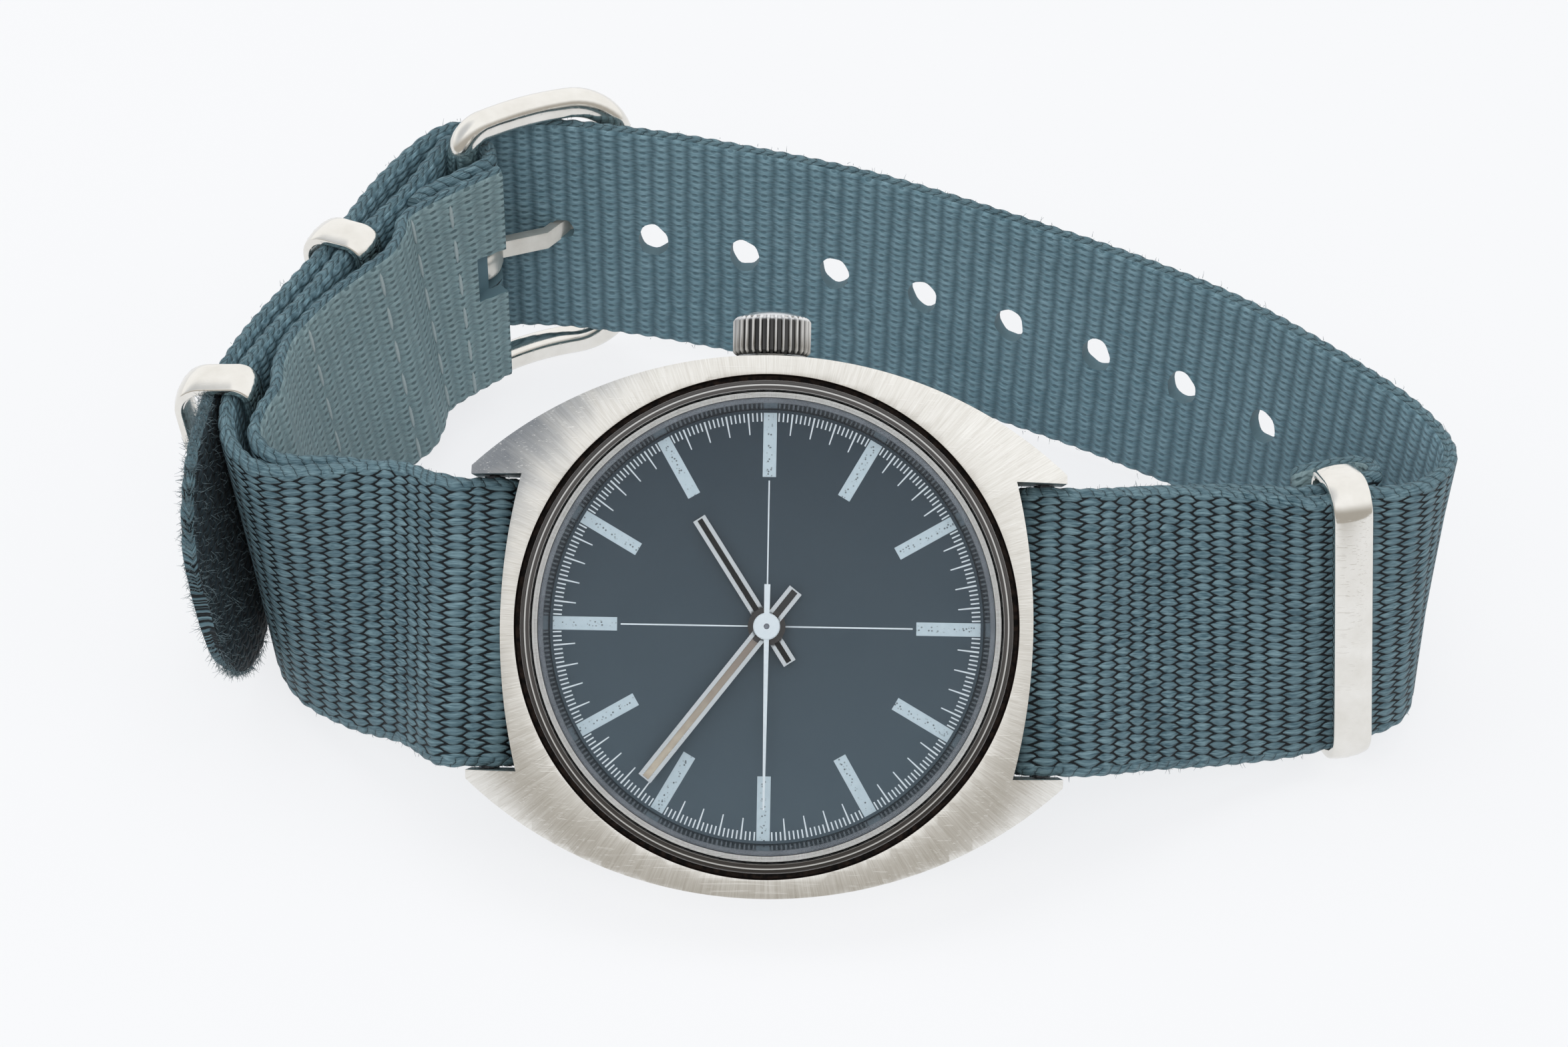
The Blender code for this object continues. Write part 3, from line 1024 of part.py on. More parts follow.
# Flat rings around the strap
def keeper(name, frame, inner, outer, turn=0.0):
    """A flat band bent into a rounded ring; inner and outer place its bars along the outward side."""
    middle, along, across, outward = frame
    spin = Matrix.Rotation(math.radians(turn), 3, across)
    along = spin @ along
    outward = spin @ outward
    half = STRAP_WIDTH / 2 + KEEPER_SIDE_GAP + KEEPER_THICKNESS / 2
    corners = [(outer, half, 0), (inner, half, 90), (inner, -half, 180), (outer, -half, 270)]
    centre = (inner + outer) / 2
    loops = []
    for side, height, first in corners:
        turn_x = side - math.copysign(KEEPER_CORNER, side - centre)
        turn_z = height - math.copysign(KEEPER_CORNER, height)
        for k in range(5):
            a = math.radians(first + 90 * k / 4)
            loop = []
            for wide, deep in ((-1, -1), (1, -1), (1, 1), (-1, 1)):
                radius = KEEPER_CORNER + deep * KEEPER_THICKNESS / 2
                place = middle + outward * (turn_x + radius * math.cos(a)) + across * (turn_z + radius
                                                                                       * math.sin(a))
                loop.append(place + along * (wide * KEEPER_BAND / 2))
            loops.append(loop)
    return make_object(name, loft(loops, closed=True), POLISHED, ROOT)


sewn_bar = -(STRAP_THICKNESS / 2 + KEEPER_SEAT + KEEPER_THICKNESS / 2)
over_tail = STRAP_THICKNESS / 2 + LAYER + KEEPER_SLACK + KEEPER_THICKNESS / 2
keeper("keeper_near_buckle", frame_near(LEFT_SIDE[1]), sewn_bar, over_tail)
keeper("keeper_far", frame_near(LEFT_SIDE[4]), sewn_bar, over_tail)
keeper("end_keeper", ring_frame, BAR_INSIDE, STRAP_THICKNESS / 2 + KEEPER_SLACK + KEEPER_THICKNESS / 2)

# Buckle: a rod ring whose pivot side lies in the fold, and a tongue on the same rod
far_station = BACK[-1]
far_out = Vector((-0.05, 1.0, 0.0)).normalized()
far_bar = far_station[0] + far_out * (STRAP_THICKNESS / 2 + FAR_BAR_GAP + ROD / 2) + Vector((-0.8, 0, 0))
buckle_along = far_bar - BUCKLE_AT
buckle_along = (buckle_along - BUCKLE_UP * buckle_along.dot(BUCKLE_UP)).normalized()
buckle_out = BUCKLE_UP.cross(buckle_along)
half = STRAP_WIDTH / 2 + BUCKLE_SIDE_GAP + ROD / 2
loops = []
corners = [(BUCKLE_REACH, half, 0, BUCKLE_CORNER), (0, half, 90, ROD * 0.75)]
corners += [(0, -half, 180, ROD * 0.75), (BUCKLE_REACH, -half, 270, BUCKLE_CORNER)]
for reach, height, first, corner in corners:
    turn_x = reach - corner if reach else corner
    turn_z = height - math.copysign(corner, height)
    for k in range(5):
        a = math.radians(first + 90 * k / 4)
        spoke = buckle_along * math.cos(a) + BUCKLE_UP * math.sin(a)
        centre = buckle_along * turn_x + BUCKLE_UP * turn_z + spoke * corner
        angles = [math.tau * m / 8 for m in range(8)]
        loops.append([centre + spoke * (ROD / 2 * math.cos(t)) + buckle_out * (ROD / 2 * math.sin(t))
                      for t in angles])
make_object("buckle_frame", loft(loops, closed=True), POLISHED, ROOT, BUCKLE_AT)

slot_half = TONGUE_SLOT / 2


def oriented_box(origin, axis_a, axis_b, axis_c, a_range, b_range, c_range):
    loops = []
    for c in c_range:
        corners = ((a_range[0], b_range[0]), (a_range[1], b_range[0]), (a_range[1], b_range[1]),
                   (a_range[0], b_range[1]))
        loops.append([origin + axis_a * a + axis_b * b + axis_c * c for a, b in corners])
    return loft(loops)


slot_reach = FOLD_RADIUS + STRAP_THICKNESS / 2
slot = oriented_box(BUCKLE_AT, fold_along, fold_out, BUCKLE_UP, (-slot_reach - 0.6, slot_reach + 0.6),
                    (-slot_reach - 1.0, slot_reach + LAYER_GAP / 2), (-slot_half, slot_half))
add_boolean(long_strap, slot, 'DIFFERENCE')

# Holes along the middle of the strap; the one in use sits on the tongue
lengths = [0.0]
for first, second in zip(LONG_FRAMES, LONG_FRAMES[1:]):
    lengths.append(lengths[-1] + (second[0] - first[0]).length)


def frame_at_length(length):
    k = max(i for i in range(len(lengths) - 1) if lengths[i] <= length)
    part = (length - lengths[k]) / (lengths[k + 1] - lengths[k])
    pair = LONG_FRAMES[k], LONG_FRAMES[k + 1]
    return [pair[0][i].lerp(pair[1][i], part) for i in range(4)]


def from_rod(length):
    step = frame_at_length(length)[0] - BUCKLE_AT
    return step.dot(buckle_along), step.dot(buckle_out)


first, last = [lengths[LONG_FRAMES.index(frame_near(place))] for place in (BACK[-1], tail[0])]
steps = [first + (last - first) * k / 200 for k in range(200)]
hole_length = min(steps, key=lambda length: abs(from_rod(length)[0] - TONGUE_FROM_ROD))
hole_reach, hole_out = from_rod(hole_length)
for k in range(HOLE_COUNT):
    place = hole_length + (HOLES_ON_TAIL - k) * HOLE_PITCH
    middle, along, across, outward = frame_at_length(place)
    in_use = k == HOLES_ON_TAIL
    radius = HOLE_IN_USE_RADIUS if in_use else HOLE_RADIUS
    stretch = HOLE_IN_USE_LENGTH / 2 - radius if in_use else 0.0
    loops = []
    for depth in (-2 * STRAP_THICKNESS / 3, 2 * STRAP_THICKNESS / 3):
        loop = []
        for m in range(10):
            a = math.tau * (m + 0.5) / 10
            shift = math.copysign(stretch, math.cos(a))
            spot = along * (radius * math.cos(a) + shift) + across * (radius * math.sin(a))
            loop.append(middle + spot + outward * depth)
        loops.append(loop)
    add_boolean(long_strap, loft(loops), 'DIFFERENCE')

# Tongue: an eye on the rod, then a flat finger through the strap to rest on the far side of the ring
eye_inner = ROD / 2 + TONGUE_RUN_GAP
eye_outer = eye_inner + TONGUE_THICKNESS * 0.8
to_world = Matrix((buckle_along, buckle_out, BUCKLE_UP)).transposed().to_euler()
tongue = make_object("buckle_tongue", tube(eye_inner, eye_outer, -TONGUE_WIDTH / 2, TONGUE_WIDTH / 2,
                                           16), POLISHED, ROOT,
                     BUCKLE_AT, to_world)
rest = ROD / 2 + SEAT_GAP + TONGUE_THICKNESS / 2
finger = []
for reach, out in ((eye_inner + 0.3, 0.1), (hole_reach - 1.8, hole_out - 0.8),
                   (hole_reach + 1.8, rest + 0.15),
                   (BUCKLE_REACH + ROD / 2, rest + 0.1)):
    loop = []
    for deep, wide in ((-1, -1), (1, -1), (1, 1), (-1, 1)):
        loop.append((reach, out + deep * TONGUE_THICKNESS / 2, wide * TONGUE_WIDTH / 2 * 0.96))
    finger.append(loop)
add_boolean(tongue, loft(finger), 'UNION')

# Stand the whole on the floor with the middle of its box at the origin
bpy.context.view_layer.update()
low = Vector((1e9, 1e9, 1e9))
high = -low
for made in bpy.data.objects:
    if made.type == 'MESH' and not made.hide_render:
        for vert in made.data.vertices:
            spot = made.matrix_world @ vert.co
            low = Vector(map(min, low, spot))
            high = Vector(map(max, high, spot))
ROOT.location = (-(low.x + high.x) / 2, -(low.y + high.y) / 2, -low.z)
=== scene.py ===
import json
import math
import random

import bpy
from mathutils import Matrix, Vector


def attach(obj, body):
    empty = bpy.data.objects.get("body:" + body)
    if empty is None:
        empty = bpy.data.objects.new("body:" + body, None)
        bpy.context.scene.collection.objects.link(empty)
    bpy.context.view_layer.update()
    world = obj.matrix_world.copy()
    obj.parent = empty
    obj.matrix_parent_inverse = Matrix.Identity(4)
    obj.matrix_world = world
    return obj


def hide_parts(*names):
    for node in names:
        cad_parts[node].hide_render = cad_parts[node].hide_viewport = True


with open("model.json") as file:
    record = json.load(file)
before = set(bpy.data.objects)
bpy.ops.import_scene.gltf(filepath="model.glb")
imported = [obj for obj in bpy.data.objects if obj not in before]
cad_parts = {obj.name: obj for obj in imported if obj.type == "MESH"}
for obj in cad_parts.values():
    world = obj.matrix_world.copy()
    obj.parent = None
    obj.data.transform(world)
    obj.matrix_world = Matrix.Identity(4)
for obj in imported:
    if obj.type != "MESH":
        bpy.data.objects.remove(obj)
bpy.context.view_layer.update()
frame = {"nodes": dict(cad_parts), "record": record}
random.seed(20)
print("frame loaded:", len(frame["nodes"]), "nodes")

# the head leans back on its nine o'clock flank; its own frame is in millimetres, dial face at height 0
head = {"dial": Vector((-0.0027288, -0.0195067, 0.0170064)), "lean": 45.0, "mm": 0.001, "stem": -3.3}
headMatrix = (Matrix.Translation(head["dial"]) @ Matrix.Rotation(math.radians(head["lean"]), 4, 'X')
              @ Matrix.Scale(head["mm"], 4))
rootMatrix = Matrix.Translation((head["dial"].x, head["dial"].y, 0)) @ Matrix.Scale(head["mm"], 4)


# camera, at the photograph's angle
cameraLook = {"fromDial": (0.0010743, -0.1644126, 0.1631056), "pitch": 43.0, "roll": 1.0, "lens": 76.63}
cameraData = bpy.data.cameras.new("photoCamera")
cameraData.lens = cameraLook["lens"]
cameraData.sensor_width = 36.0
cameraData.clip_start = 0.005
photoCamera = bpy.data.objects.new("photoCamera", cameraData)
bpy.context.collection.objects.link(photoCamera)
tilt = Matrix.Rotation(math.radians(90 - cameraLook["pitch"]), 4, 'X')
tilt = tilt @ Matrix.Rotation(math.radians(cameraLook["roll"]), 4, 'Z')
photoCamera.matrix_world = Matrix.Translation(head["dial"] + Vector(cameraLook["fromDial"])) @ tilt
bpy.context.scene.camera = photoCamera
bpy.context.scene.view_settings.view_transform = 'Standard'


# small helpers for modelling
def only(piece):
    bpy.ops.object.select_all(action='DESELECT')
    piece.select_set(True)
    bpy.context.view_layer.objects.active = piece


def newest(name):
    piece = bpy.context.object
    piece.name = name
    piece.data.name = name
    return piece


def fromMesh(name, points, edges, faces):
    mesh = bpy.data.meshes.new(name)
    mesh.from_pydata([tuple(p) for p in points], edges, faces)
    piece = bpy.data.objects.new(name, mesh)
    bpy.context.collection.objects.link(piece)
    only(piece)
    return piece


def settle(piece):  # location, turn and scale go into the mesh
    only(piece)
    bpy.ops.object.transform_apply(location=True, rotation=True, scale=True)


def modify(piece, kind, **settings):
    only(piece)
    modifier = piece.modifiers.new(kind.lower(), kind)
    for key, value in settings.items():
        setattr(modifier, key, value)
    bpy.ops.object.modifier_apply(modifier=modifier.name)


def beveled(piece, width, angle, segments, **settings):
    modify(piece, 'BEVEL', limit_method='ANGLE', angle_limit=math.radians(angle), width=width, segments=segments,
           **settings)


def combine(piece, other, operation):
    modify(piece, 'BOOLEAN', operation=operation, solver='EXACT', object=other)
    bpy.data.objects.remove(other, do_unlink=True)


def cut(piece, other):
    combine(piece, other, 'DIFFERENCE')


def block(name, place, size, turn=0.0):
    bpy.ops.object.select_all(action='DESELECT')
    bpy.ops.mesh.primitive_cube_add(size=1.0, location=place, rotation=(0, 0, turn), scale=size)
    return newest(name)


def drum(name, sides, radius, depth, place, lying=False):
    bpy.ops.object.select_all(action='DESELECT')
    bpy.ops.mesh.primitive_cylinder_add(vertices=sides, radius=radius, depth=depth, location=place,
                                        rotation=(math.pi / 2 if lying else 0, 0, 0))
    return newest(name)


def pickFaces(piece, test):  # leaves edit mode on with the tested faces selected
    only(piece)
    bpy.ops.object.mode_set(mode='EDIT')
    bpy.ops.mesh.select_mode(type='FACE')
    bpy.ops.mesh.select_all(action='DESELECT')
    bpy.ops.object.mode_set(mode='OBJECT')
    for face in piece.data.polygons:
        face.select = test(face)
    bpy.ops.object.mode_set(mode='EDIT')


def editAll(piece):
    only(piece)
    bpy.ops.object.mode_set(mode='EDIT')
    bpy.ops.mesh.select_all(action='SELECT')


def editDone():
    bpy.ops.object.mode_set(mode='OBJECT')


def facesOut(piece):
    editAll(piece)
    bpy.ops.mesh.remove_doubles(threshold=0.0004)
    bpy.ops.mesh.normals_make_consistent(inside=False)
    editDone()


def turned(name, outline, steps):  # spins an outline of (radius, height) about the head's axis
    edges = [(k, k + 1) for k in range(len(outline) - 1)]
    piece = fromMesh(name, [(r, 0, z) for r, z in outline], edges, [])
    editAll(piece)
    bpy.ops.mesh.spin(steps=steps, angle=math.tau, center=(0, 0, 0), axis=(0, 0, 1))
    editDone()
    facesOut(piece)
    return piece


def smoothed(piece, angle):
    only(piece)
    bpy.ops.object.shade_smooth_by_angle(angle=math.radians(angle))


def joined(name, pieces):
    bpy.ops.object.select_all(action='DESELECT')
    for piece in pieces:
        piece.select_set(True)
    bpy.context.view_layer.objects.active = pieces[0]
    if len(pieces) > 1:
        bpy.ops.object.join()
    return newest(name)


def copied(piece, matrix):
    other = bpy.data.objects.new(piece.name, piece.data.copy())
    bpy.context.collection.objects.link(other)
    other.data.transform(matrix)
    return other


def lofted(name, loops, closed):
    count = len(loops[0])
    points = [point for loop in loops for point in loop]
    faces = []
    rows = len(loops) if closed else len(loops) - 1
    for row in range(rows):
        here, there = row * count, (row + 1) % len(loops) * count
        for k in range(count):
            after = (k + 1) % count
            faces.append((here + k, here + after, there + after, there + k))
    if not closed:
        faces.append(tuple(range(count))[::-1])
        faces.append(tuple(range(len(points) - count, len(points))))
    piece = fromMesh(name, points, [], faces)
    facesOut(piece)
    return piece


def coated(piece, materials):  # done early where a modifier or a face already counts on a slot
    for material in materials:
        if material.name not in piece.data.materials:
            piece.data.materials.append(material)


def dressed(piece, materials, body, nodes, matrix):
    piece.data.transform(matrix)
    coated(piece, materials)
    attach(piece, body)
    if nodes:
        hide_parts(*nodes)
    return piece


# materials
def tint(red, green, blue):  # a colour as a picture shows it, in 0 to 255
    parts = [value / 255 for value in (red, green, blue)]
    return tuple(p / 12.92 if p <= 0.04045 else ((p + 0.055) / 1.055) ** 2.4 for p in parts) + (1.0,)


class Wire:  # a node's output that takes plain arithmetic, each step a Math node
    def __init__(self, sheet, socket):
        self.sheet, self.socket = sheet, socket

    def __add__(self, other):
        return self.sheet.math('ADD', self, other)

    def __sub__(self, other):
        return self.sheet.math('SUBTRACT', self, other)

    def __rsub__(self, other):
        return self.sheet.math('SUBTRACT', other, self)

    def __mul__(self, other):
        return self.sheet.math('MULTIPLY', self, other)

    def __truediv__(self, other):
        return self.sheet.math('DIVIDE', self, other)

    def __pow__(self, other):
        return self.sheet.math('POWER', self, other)

    def __abs__(self):
        return self.sheet.math('ABSOLUTE', self)


class Sheet:  # a node tree with short calls for adding and linking nodes
    def __init__(self, tree):
        self.tree = tree

    def put(self, kind, links=None, **settings):
        node = self.tree.nodes.new(kind)
        for key, value in settings.items():
            setattr(node, key, value)
        for key, value in (links or {}).items():
            self.feed(node.inputs[key], value)
        return node

    def feed(self, socket, value):
        if isinstance(value, Wire):
            self.tree.links.new(value.socket, socket)
        else:
            socket.default_value = value

    def out(self, kind, name, links=None, **settings):  # one output of a new node
        return Wire(self, self.put(kind, links, **settings).outputs[name])

    def outs(self, kind, links=None, **settings):  # all outputs of a new node, by name
        return {socket.name: Wire(self, socket) for socket in self.put(kind, links, **settings).outputs}

    def math(self, operation, *values):
        return self.out('ShaderNodeMath', 0, dict(enumerate(values)), operation=operation)

    def remap(self, value, low, high, toLow=0.0, toHigh=1.0, smooth=False):
        links = {"Value": value, "From Min": low, "From Max": high, "To Min": toLow, "To Max": toHigh}
        kind = 'SMOOTHSTEP' if smooth else 'LINEAR'
        return self.out('ShaderNodeMapRange', "Result", links, interpolation_type=kind)

    def blend(self, part, first, second):
        return self.out('ShaderNodeMix', 2, {0: part, 6: first, 7: second}, data_type='RGBA')

    def mix(self, part, first, second):
        return self.out('ShaderNodeMix', 0, {0: part, 2: first, 3: second}, data_type='FLOAT')

    def noise(self, vector, scale, detail=2.0, roughness=0.5):
        links = {"Vector": vector, "Scale": scale, "Detail": detail, "Roughness": roughness}
        return self.out('ShaderNodeTexNoise', "Fac", links)

    def vector(self, x, y, z):
        return self.out('ShaderNodeCombineXYZ', 0, {"X": x, "Y": y, "Z": z})

    def split(self, vector):
        return list(self.outs('ShaderNodeSeparateXYZ', {"Vector": vector}).values())

    def group(self, tree, links):
        return self.outs('ShaderNodeGroup', links, node_tree=tree)

    def show(self, colour, rough=None, bump=None):  # a look for the material's own shader
        shader = self.tree.nodes["Principled BSDF"].inputs
        self.feed(shader["Base Color"], colour)
        if rough:
            self.feed(shader["Roughness"], rough)
        if bump:
            links = dict(zip(("Height", "Strength", "Distance"), bump))
            self.feed(shader["Normal"], self.out('ShaderNodeBump', 0, links))

    def overlay(self, part, other):  # another shader mixed over the material's own
        own = Wire(self, self.tree.nodes["Principled BSDF"].outputs[0])
        mixed = self.out('ShaderNodeMixShader', 0, {0: part, 1: own, 2: other})
        self.feed(self.tree.nodes["Material Output"].inputs["Surface"], mixed)


def newGroup(name, ins, outs):  # Place is a vector, and all other sockets are floats
    tree = bpy.data.node_groups.new(name, 'ShaderNodeTree')
    for side, keys in (('INPUT', ins), ('OUTPUT', outs)):
        for key in keys:
            kind = 'NodeSocketVector' if key == "Place" else 'NodeSocketFloat'
            tree.interface.new_socket(name=key, in_out=side, socket_type=kind)
    sheet = Sheet(tree)
    return sheet, sheet.outs('NodeGroupInput'), sheet.put('NodeGroupOutput').inputs


def newMaterial(name, metallic, roughness, plain=None):
    material = bpy.data.materials.new(name)
    material.use_nodes = True
    shader = material.node_tree.nodes["Principled BSDF"].inputs
    shader["Metallic"].default_value = metallic
    shader["Roughness"].default_value = roughness
    for key, value in (plain or {}).items():
        shader[key].default_value = value
    return material, Sheet(material.node_tree)


def millimetres(sheet, place=(0, 0, 0), lean=0.0):
    links = {"Vector": sheet.out('ShaderNodeTexCoord', "Object"), "Location": place,
             "Rotation": (math.radians(lean), 0, 0), "Scale": (head["mm"],) * 3}
    return sheet.out('ShaderNodeMapping', 0, links, vector_type='TEXTURE')


def headPlace(sheet):  # the head's own millimetres
    return millimetres(sheet, head["dial"], head["lean"])


# brushing that runs out from the dial's centre, and along the case on its upright sides
sheet, entry, leave = newGroup("sunBrushing", ["Place", "Lines"], ["Lines", "Streaks"])
x, y, z = sheet.split(entry["Place"])
angle = sheet.math('ARCTAN2', y, x)
reach = sheet.math('SQRT', x ** 2.0 + y ** 2.0)
fan = sheet.vector(angle * entry["Lines"], reach * 0.4, z * 0.5)
wide = sheet.vector(angle * 9.0, reach * 0.12, 0.0)
sheet.feed(leave["Lines"], sheet.noise(fan, 1.0, 3.0, 0.65))
sheet.feed(leave["Streaks"], sheet.noise(wide, 1.0, 3.0, 0.6))
sunBrushing = sheet.tree

# stray scratches in several directions and soft smudges
sheet, entry, leave = newGroup("wear", ["Place"], ["Scratches", "Smudge"])
marks = None
for turn, scale in ((0.4, 0.5), (1.5, 0.42), (2.5, 0.6)):
    links = {"Vector": entry["Place"], "Rotation": (0.3, 0.2, turn), "Scale": (scale * 0.35, scale * 16, scale * 16)}
    drawn = sheet.noise(sheet.out('ShaderNodeMapping', 0, links), 1.0, 2.0, 0.55)
    line = sheet.remap(drawn, 0.66, 0.72)
    marks = line if marks is None else sheet.math('MAXIMUM', marks, line)
sheet.feed(leave["Scratches"], marks)
sheet.feed(leave["Smudge"], sheet.noise(entry["Place"], 0.45, 4.0, 0.6))
wear = sheet.tree

# woven webbing: lens-shaped floats in columns, every other column half a float lower
webbing = {"column": 1.4, "row": 0.59, "edge": 9.45}
sheet, entry, leave = newGroup("webbingWeave", ["Place"], ["Height", "Tone", "Shade", "Fibre", "Rib", "Pit"])
x, y, z = sheet.split(entry["Place"])
across = (x + (sheet.noise(entry["Place"], 0.9) - 0.5) * 0.34) / webbing["row"]
along = (y + (sheet.noise(entry["Place"], 0.55) - 0.5) * 0.5) / (2 * webbing["column"])
lenses, tones, pits = [], [], []
for shift in (0.0, 0.5):
    columnPlace, rowPlace = along + shift, across + shift
    t = (sheet.math('FRACT', columnPlace) - 0.5) * 2.0
    s = abs(sheet.math('FRACT', rowPlace) - 0.5)
    half = sheet.math('MAXIMUM', (1.0 - abs(t / 0.585) ** 2.0) * 0.5, 0.001)
    hollow = ((0.5 - s) / 0.3) ** 2.0 + (t / 0.24) ** 2.0
    pits.append(sheet.remap(hollow, 0.25, 1.0, 1.0, 0.0, True))
    rise = sheet.math('MAXIMUM', 1.0 - (s / half) ** 2.0, 0.0)
    lenses.append(rise * sheet.remap(half, 0.0, 0.3, 0.1, 1.0))
    cell = sheet.vector(sheet.math('FLOOR', columnPlace), sheet.math('FLOOR', rowPlace), shift)
    tones.append(sheet.out('ShaderNodeTexWhiteNoise', "Value", {"Vector": cell}, noise_dimensions='3D'))
tone = sheet.mix(sheet.math('GREATER_THAN', lenses[1], lenses[0]), *tones)
dome = sheet.math('MAXIMUM', *lenses) ** 0.5
offEdge = abs(x) - webbing["edge"]  # the edge is twisted like a rope
slant = y * (math.pi / 0.85) + offEdge * 1.9 + sheet.noise(entry["Place"], 1.6) * 2.2
rope = abs(sheet.math('SINE', slant)) ** 0.6
relief = sheet.mix(sheet.remap(offEdge, 0.0, 0.12), dome, rope)
fibre = sheet.noise(sheet.vector(x * 8.0, y * 0.9, tone), 1.0, 3.0, 0.6)
woven = {"Height": relief + (fibre - 0.5) * 0.35, "Tone": tone, "Fibre": fibre,
         "Shade": sheet.remap(relief, 0.02, 0.32, smooth=True),
         "Rib": abs(sheet.math('COSINE', along * math.tau)) ** 1.6, "Pit": sheet.math('MAXIMUM', *pits)}
for key, value in woven.items():
    sheet.feed(leave[key], value)
webbingWeave = sheet.tree

# brushed case steel, darker and bluer towards one lug
brushed = {"dark": tint(217, 214, 207), "light": tint(247, 246, 242), "rough": (0.25, 0.36), "lines": 210.0,
           "darkTowardsLug": 0.7}
caseSteel, sheet = newMaterial("caseSteel", 1.0, 0.5)
place = headPlace(sheet)
x, y, z = sheet.split(place)
brush = sheet.group(sunBrushing, {"Place": place, "Lines": brushed["lines"]})
marks = sheet.group(wear, {"Place": place})
lines = sheet.remap(brush["Lines"] + brush["Streaks"] * 0.3, 0.4, 0.9)
colour = sheet.blend(lines, brushed["dark"], brushed["light"])
toLug = x * -0.86 + y * 0.5
lugDarkening = sheet.remap(toLug, 16.5, 22.5) + sheet.remap(brush["Streaks"], 0.3, 0.7, -0.25, 0.25)
lugDarkening = sheet.remap(lugDarkening, 0.1, 0.9, 0.0, brushed["darkTowardsLug"]) * sheet.remap(toLug, 15.5, 18.0)
colour = sheet.blend(lugDarkening, colour, tint(104, 113, 126))
soft = sheet.remap(brush["Lines"] + marks["Smudge"] * 0.6, 0.4, 1.2, *brushed["rough"])
sheet.show(sheet.blend(marks["Scratches"] * 0.6, colour, brushed["light"]), soft,
           (brush["Lines"] + marks["Scratches"] * 0.5, 0.35, 0.00002))


def polishMaterial(name, dark, light, rough, metallic=1.0):
    material, sheet = newMaterial(name, metallic, 0.5)
    marks = sheet.group(wear, {"Place": millimetres(sheet)})
    colour = sheet.blend(sheet.remap(marks["Smudge"], 0.25, 0.75), tint(*dark), tint(*light))
    soft = sheet.remap(marks["Smudge"] + marks["Scratches"] * 0.35, 0.3, 1.0, *rough)
    sheet.show(colour, soft, (marks["Scratches"] * -1.0, 0.12, 0.00002))
    return material


def mottledMaterial(name, roughness, place, grain, dark, light, bump=(), plain=None):  # grain: scale and detail
    material, sheet = newMaterial(name, 0.0, roughness, plain)
    mottle = sheet.noise(place(sheet), *grain)
    sheet.show(sheet.blend(mottle, tint(*dark), tint(*light)), None, bump and (mottle,) + bump)
    return material


caseEdge = polishMaterial("caseEdge", (214, 212, 208), (240, 239, 236), (0.1, 0.22))
polishedSteel = polishMaterial("polishedSteel", (224, 221, 214), (238, 236, 231), (0.09, 0.17))
barSteel = polishMaterial("barSteel", (62, 64, 68), (92, 94, 98), (0.3, 0.45))
tongueSteel = polishMaterial("tongueSteel", (206, 202, 194), (232, 229, 222), (0.3, 0.42), 0.6)
tensionSteel = polishMaterial("tensionSteel", (96, 102, 108), (124, 130, 136), (0.16, 0.28))
handSteel = polishMaterial("handSteel", (196, 202, 204), (214, 219, 221), (0.25, 0.4))
springSteel = polishMaterial("springSteel", (120, 124, 132), (160, 164, 172), (0.2, 0.35))
plateNickel = polishMaterial("plateNickel", (176, 174, 168), (204, 202, 196), (0.25, 0.42))
trainBrass = polishMaterial("trainBrass", (190, 152, 84), (224, 188, 116), (0.18, 0.34))
gasketRubber = mottledMaterial("gasketRubber", 0.75, millimetres, (3.0, 3.0), (22, 22, 23), (40, 40, 42),
                               (0.2, 0.00003))
printWhite = mottledMaterial("printWhite", 0.5, headPlace, (5.0, 2.0), (210, 220, 226), (228, 236, 240), (0.1, 0.00001))
blackInlay = mottledMaterial("blackInlay", 0.45, headPlace, (3.0, 2.0), (4, 5, 5), (12, 13, 13),
                             plain={"Specular IOR Level": 0.15})
# painted shade: dark hubs for the hour and minute hands
hubPaintedShade = mottledMaterial("hubPaintedShade", 0.4, headPlace, (4.0, 3.0), (20, 18, 17), (46, 42, 40))
threadPale = mottledMaterial("threadPale", 0.7, millimetres, (14.0, 2.0), (150, 166, 170), (190, 202, 204),
                             (0.3, 0.00004))
fuzzFibre = mottledMaterial("fuzzFibre", 0.8, millimetres, (4.0, 2.0), (62, 80, 88), (132, 150, 156))

ringSteel, sheet = newMaterial("ringSteel", 1.0, 0.16)
x, y, z = sheet.split(headPlace(sheet))
# painted highlights and shade: bright and dark rings every 0.36 mm across the ring's top, standing in for the
# highlights of its turned crests
paintedRingHighlights = {"first": 16.33, "apart": 0.36}
fromFirst = sheet.math('SQRT', x ** 2.0 + y ** 2.0) - paintedRingHighlights["first"]
lines = sheet.math('COSINE', fromFirst * (math.tau / paintedRingHighlights["apart"]))
colour = sheet.blend(sheet.remap(lines, 0.25, 0.85), tint(84, 82, 81), tint(206, 206, 205))
sheet.show(colour, sheet.remap(sheet.noise(millimetres(sheet), 1.2, 3.0), 0.3, 0.7, 0.1, 0.24))

crownSteel, sheet = newMaterial("crownSteel", 1.0, 0.2)
x, y, z = sheet.split(headPlace(sheet))
offStem = sheet.math('SQRT', x ** 2.0 + (z - head["stem"]) ** 2.0)  # painted shade: dark between the flutes
colour = sheet.blend(sheet.remap(offStem, 2.5, 2.74), tint(54, 54, 54), tint(206, 205, 203))
sheet.show(sheet.blend(sheet.remap(y, 21.45, 21.6), colour, tint(226, 227, 228)))

# painted shade: a dark brownish mottle for the deep groove between case and holding ring, where shade falls
paintedGrooveShade, sheet = newMaterial("paintedGrooveShade", 0.0, 0.7)
grooveShadeMottle = sheet.noise(millimetres(sheet), 2.0, 3.0)
colour = sheet.blend(sheet.remap(grooveShadeMottle, 0.4, 0.65), tint(27, 24, 23), tint(74, 59, 51))
sheet.show(colour, None, (grooveShadeMottle, 0.2, 0.00003))

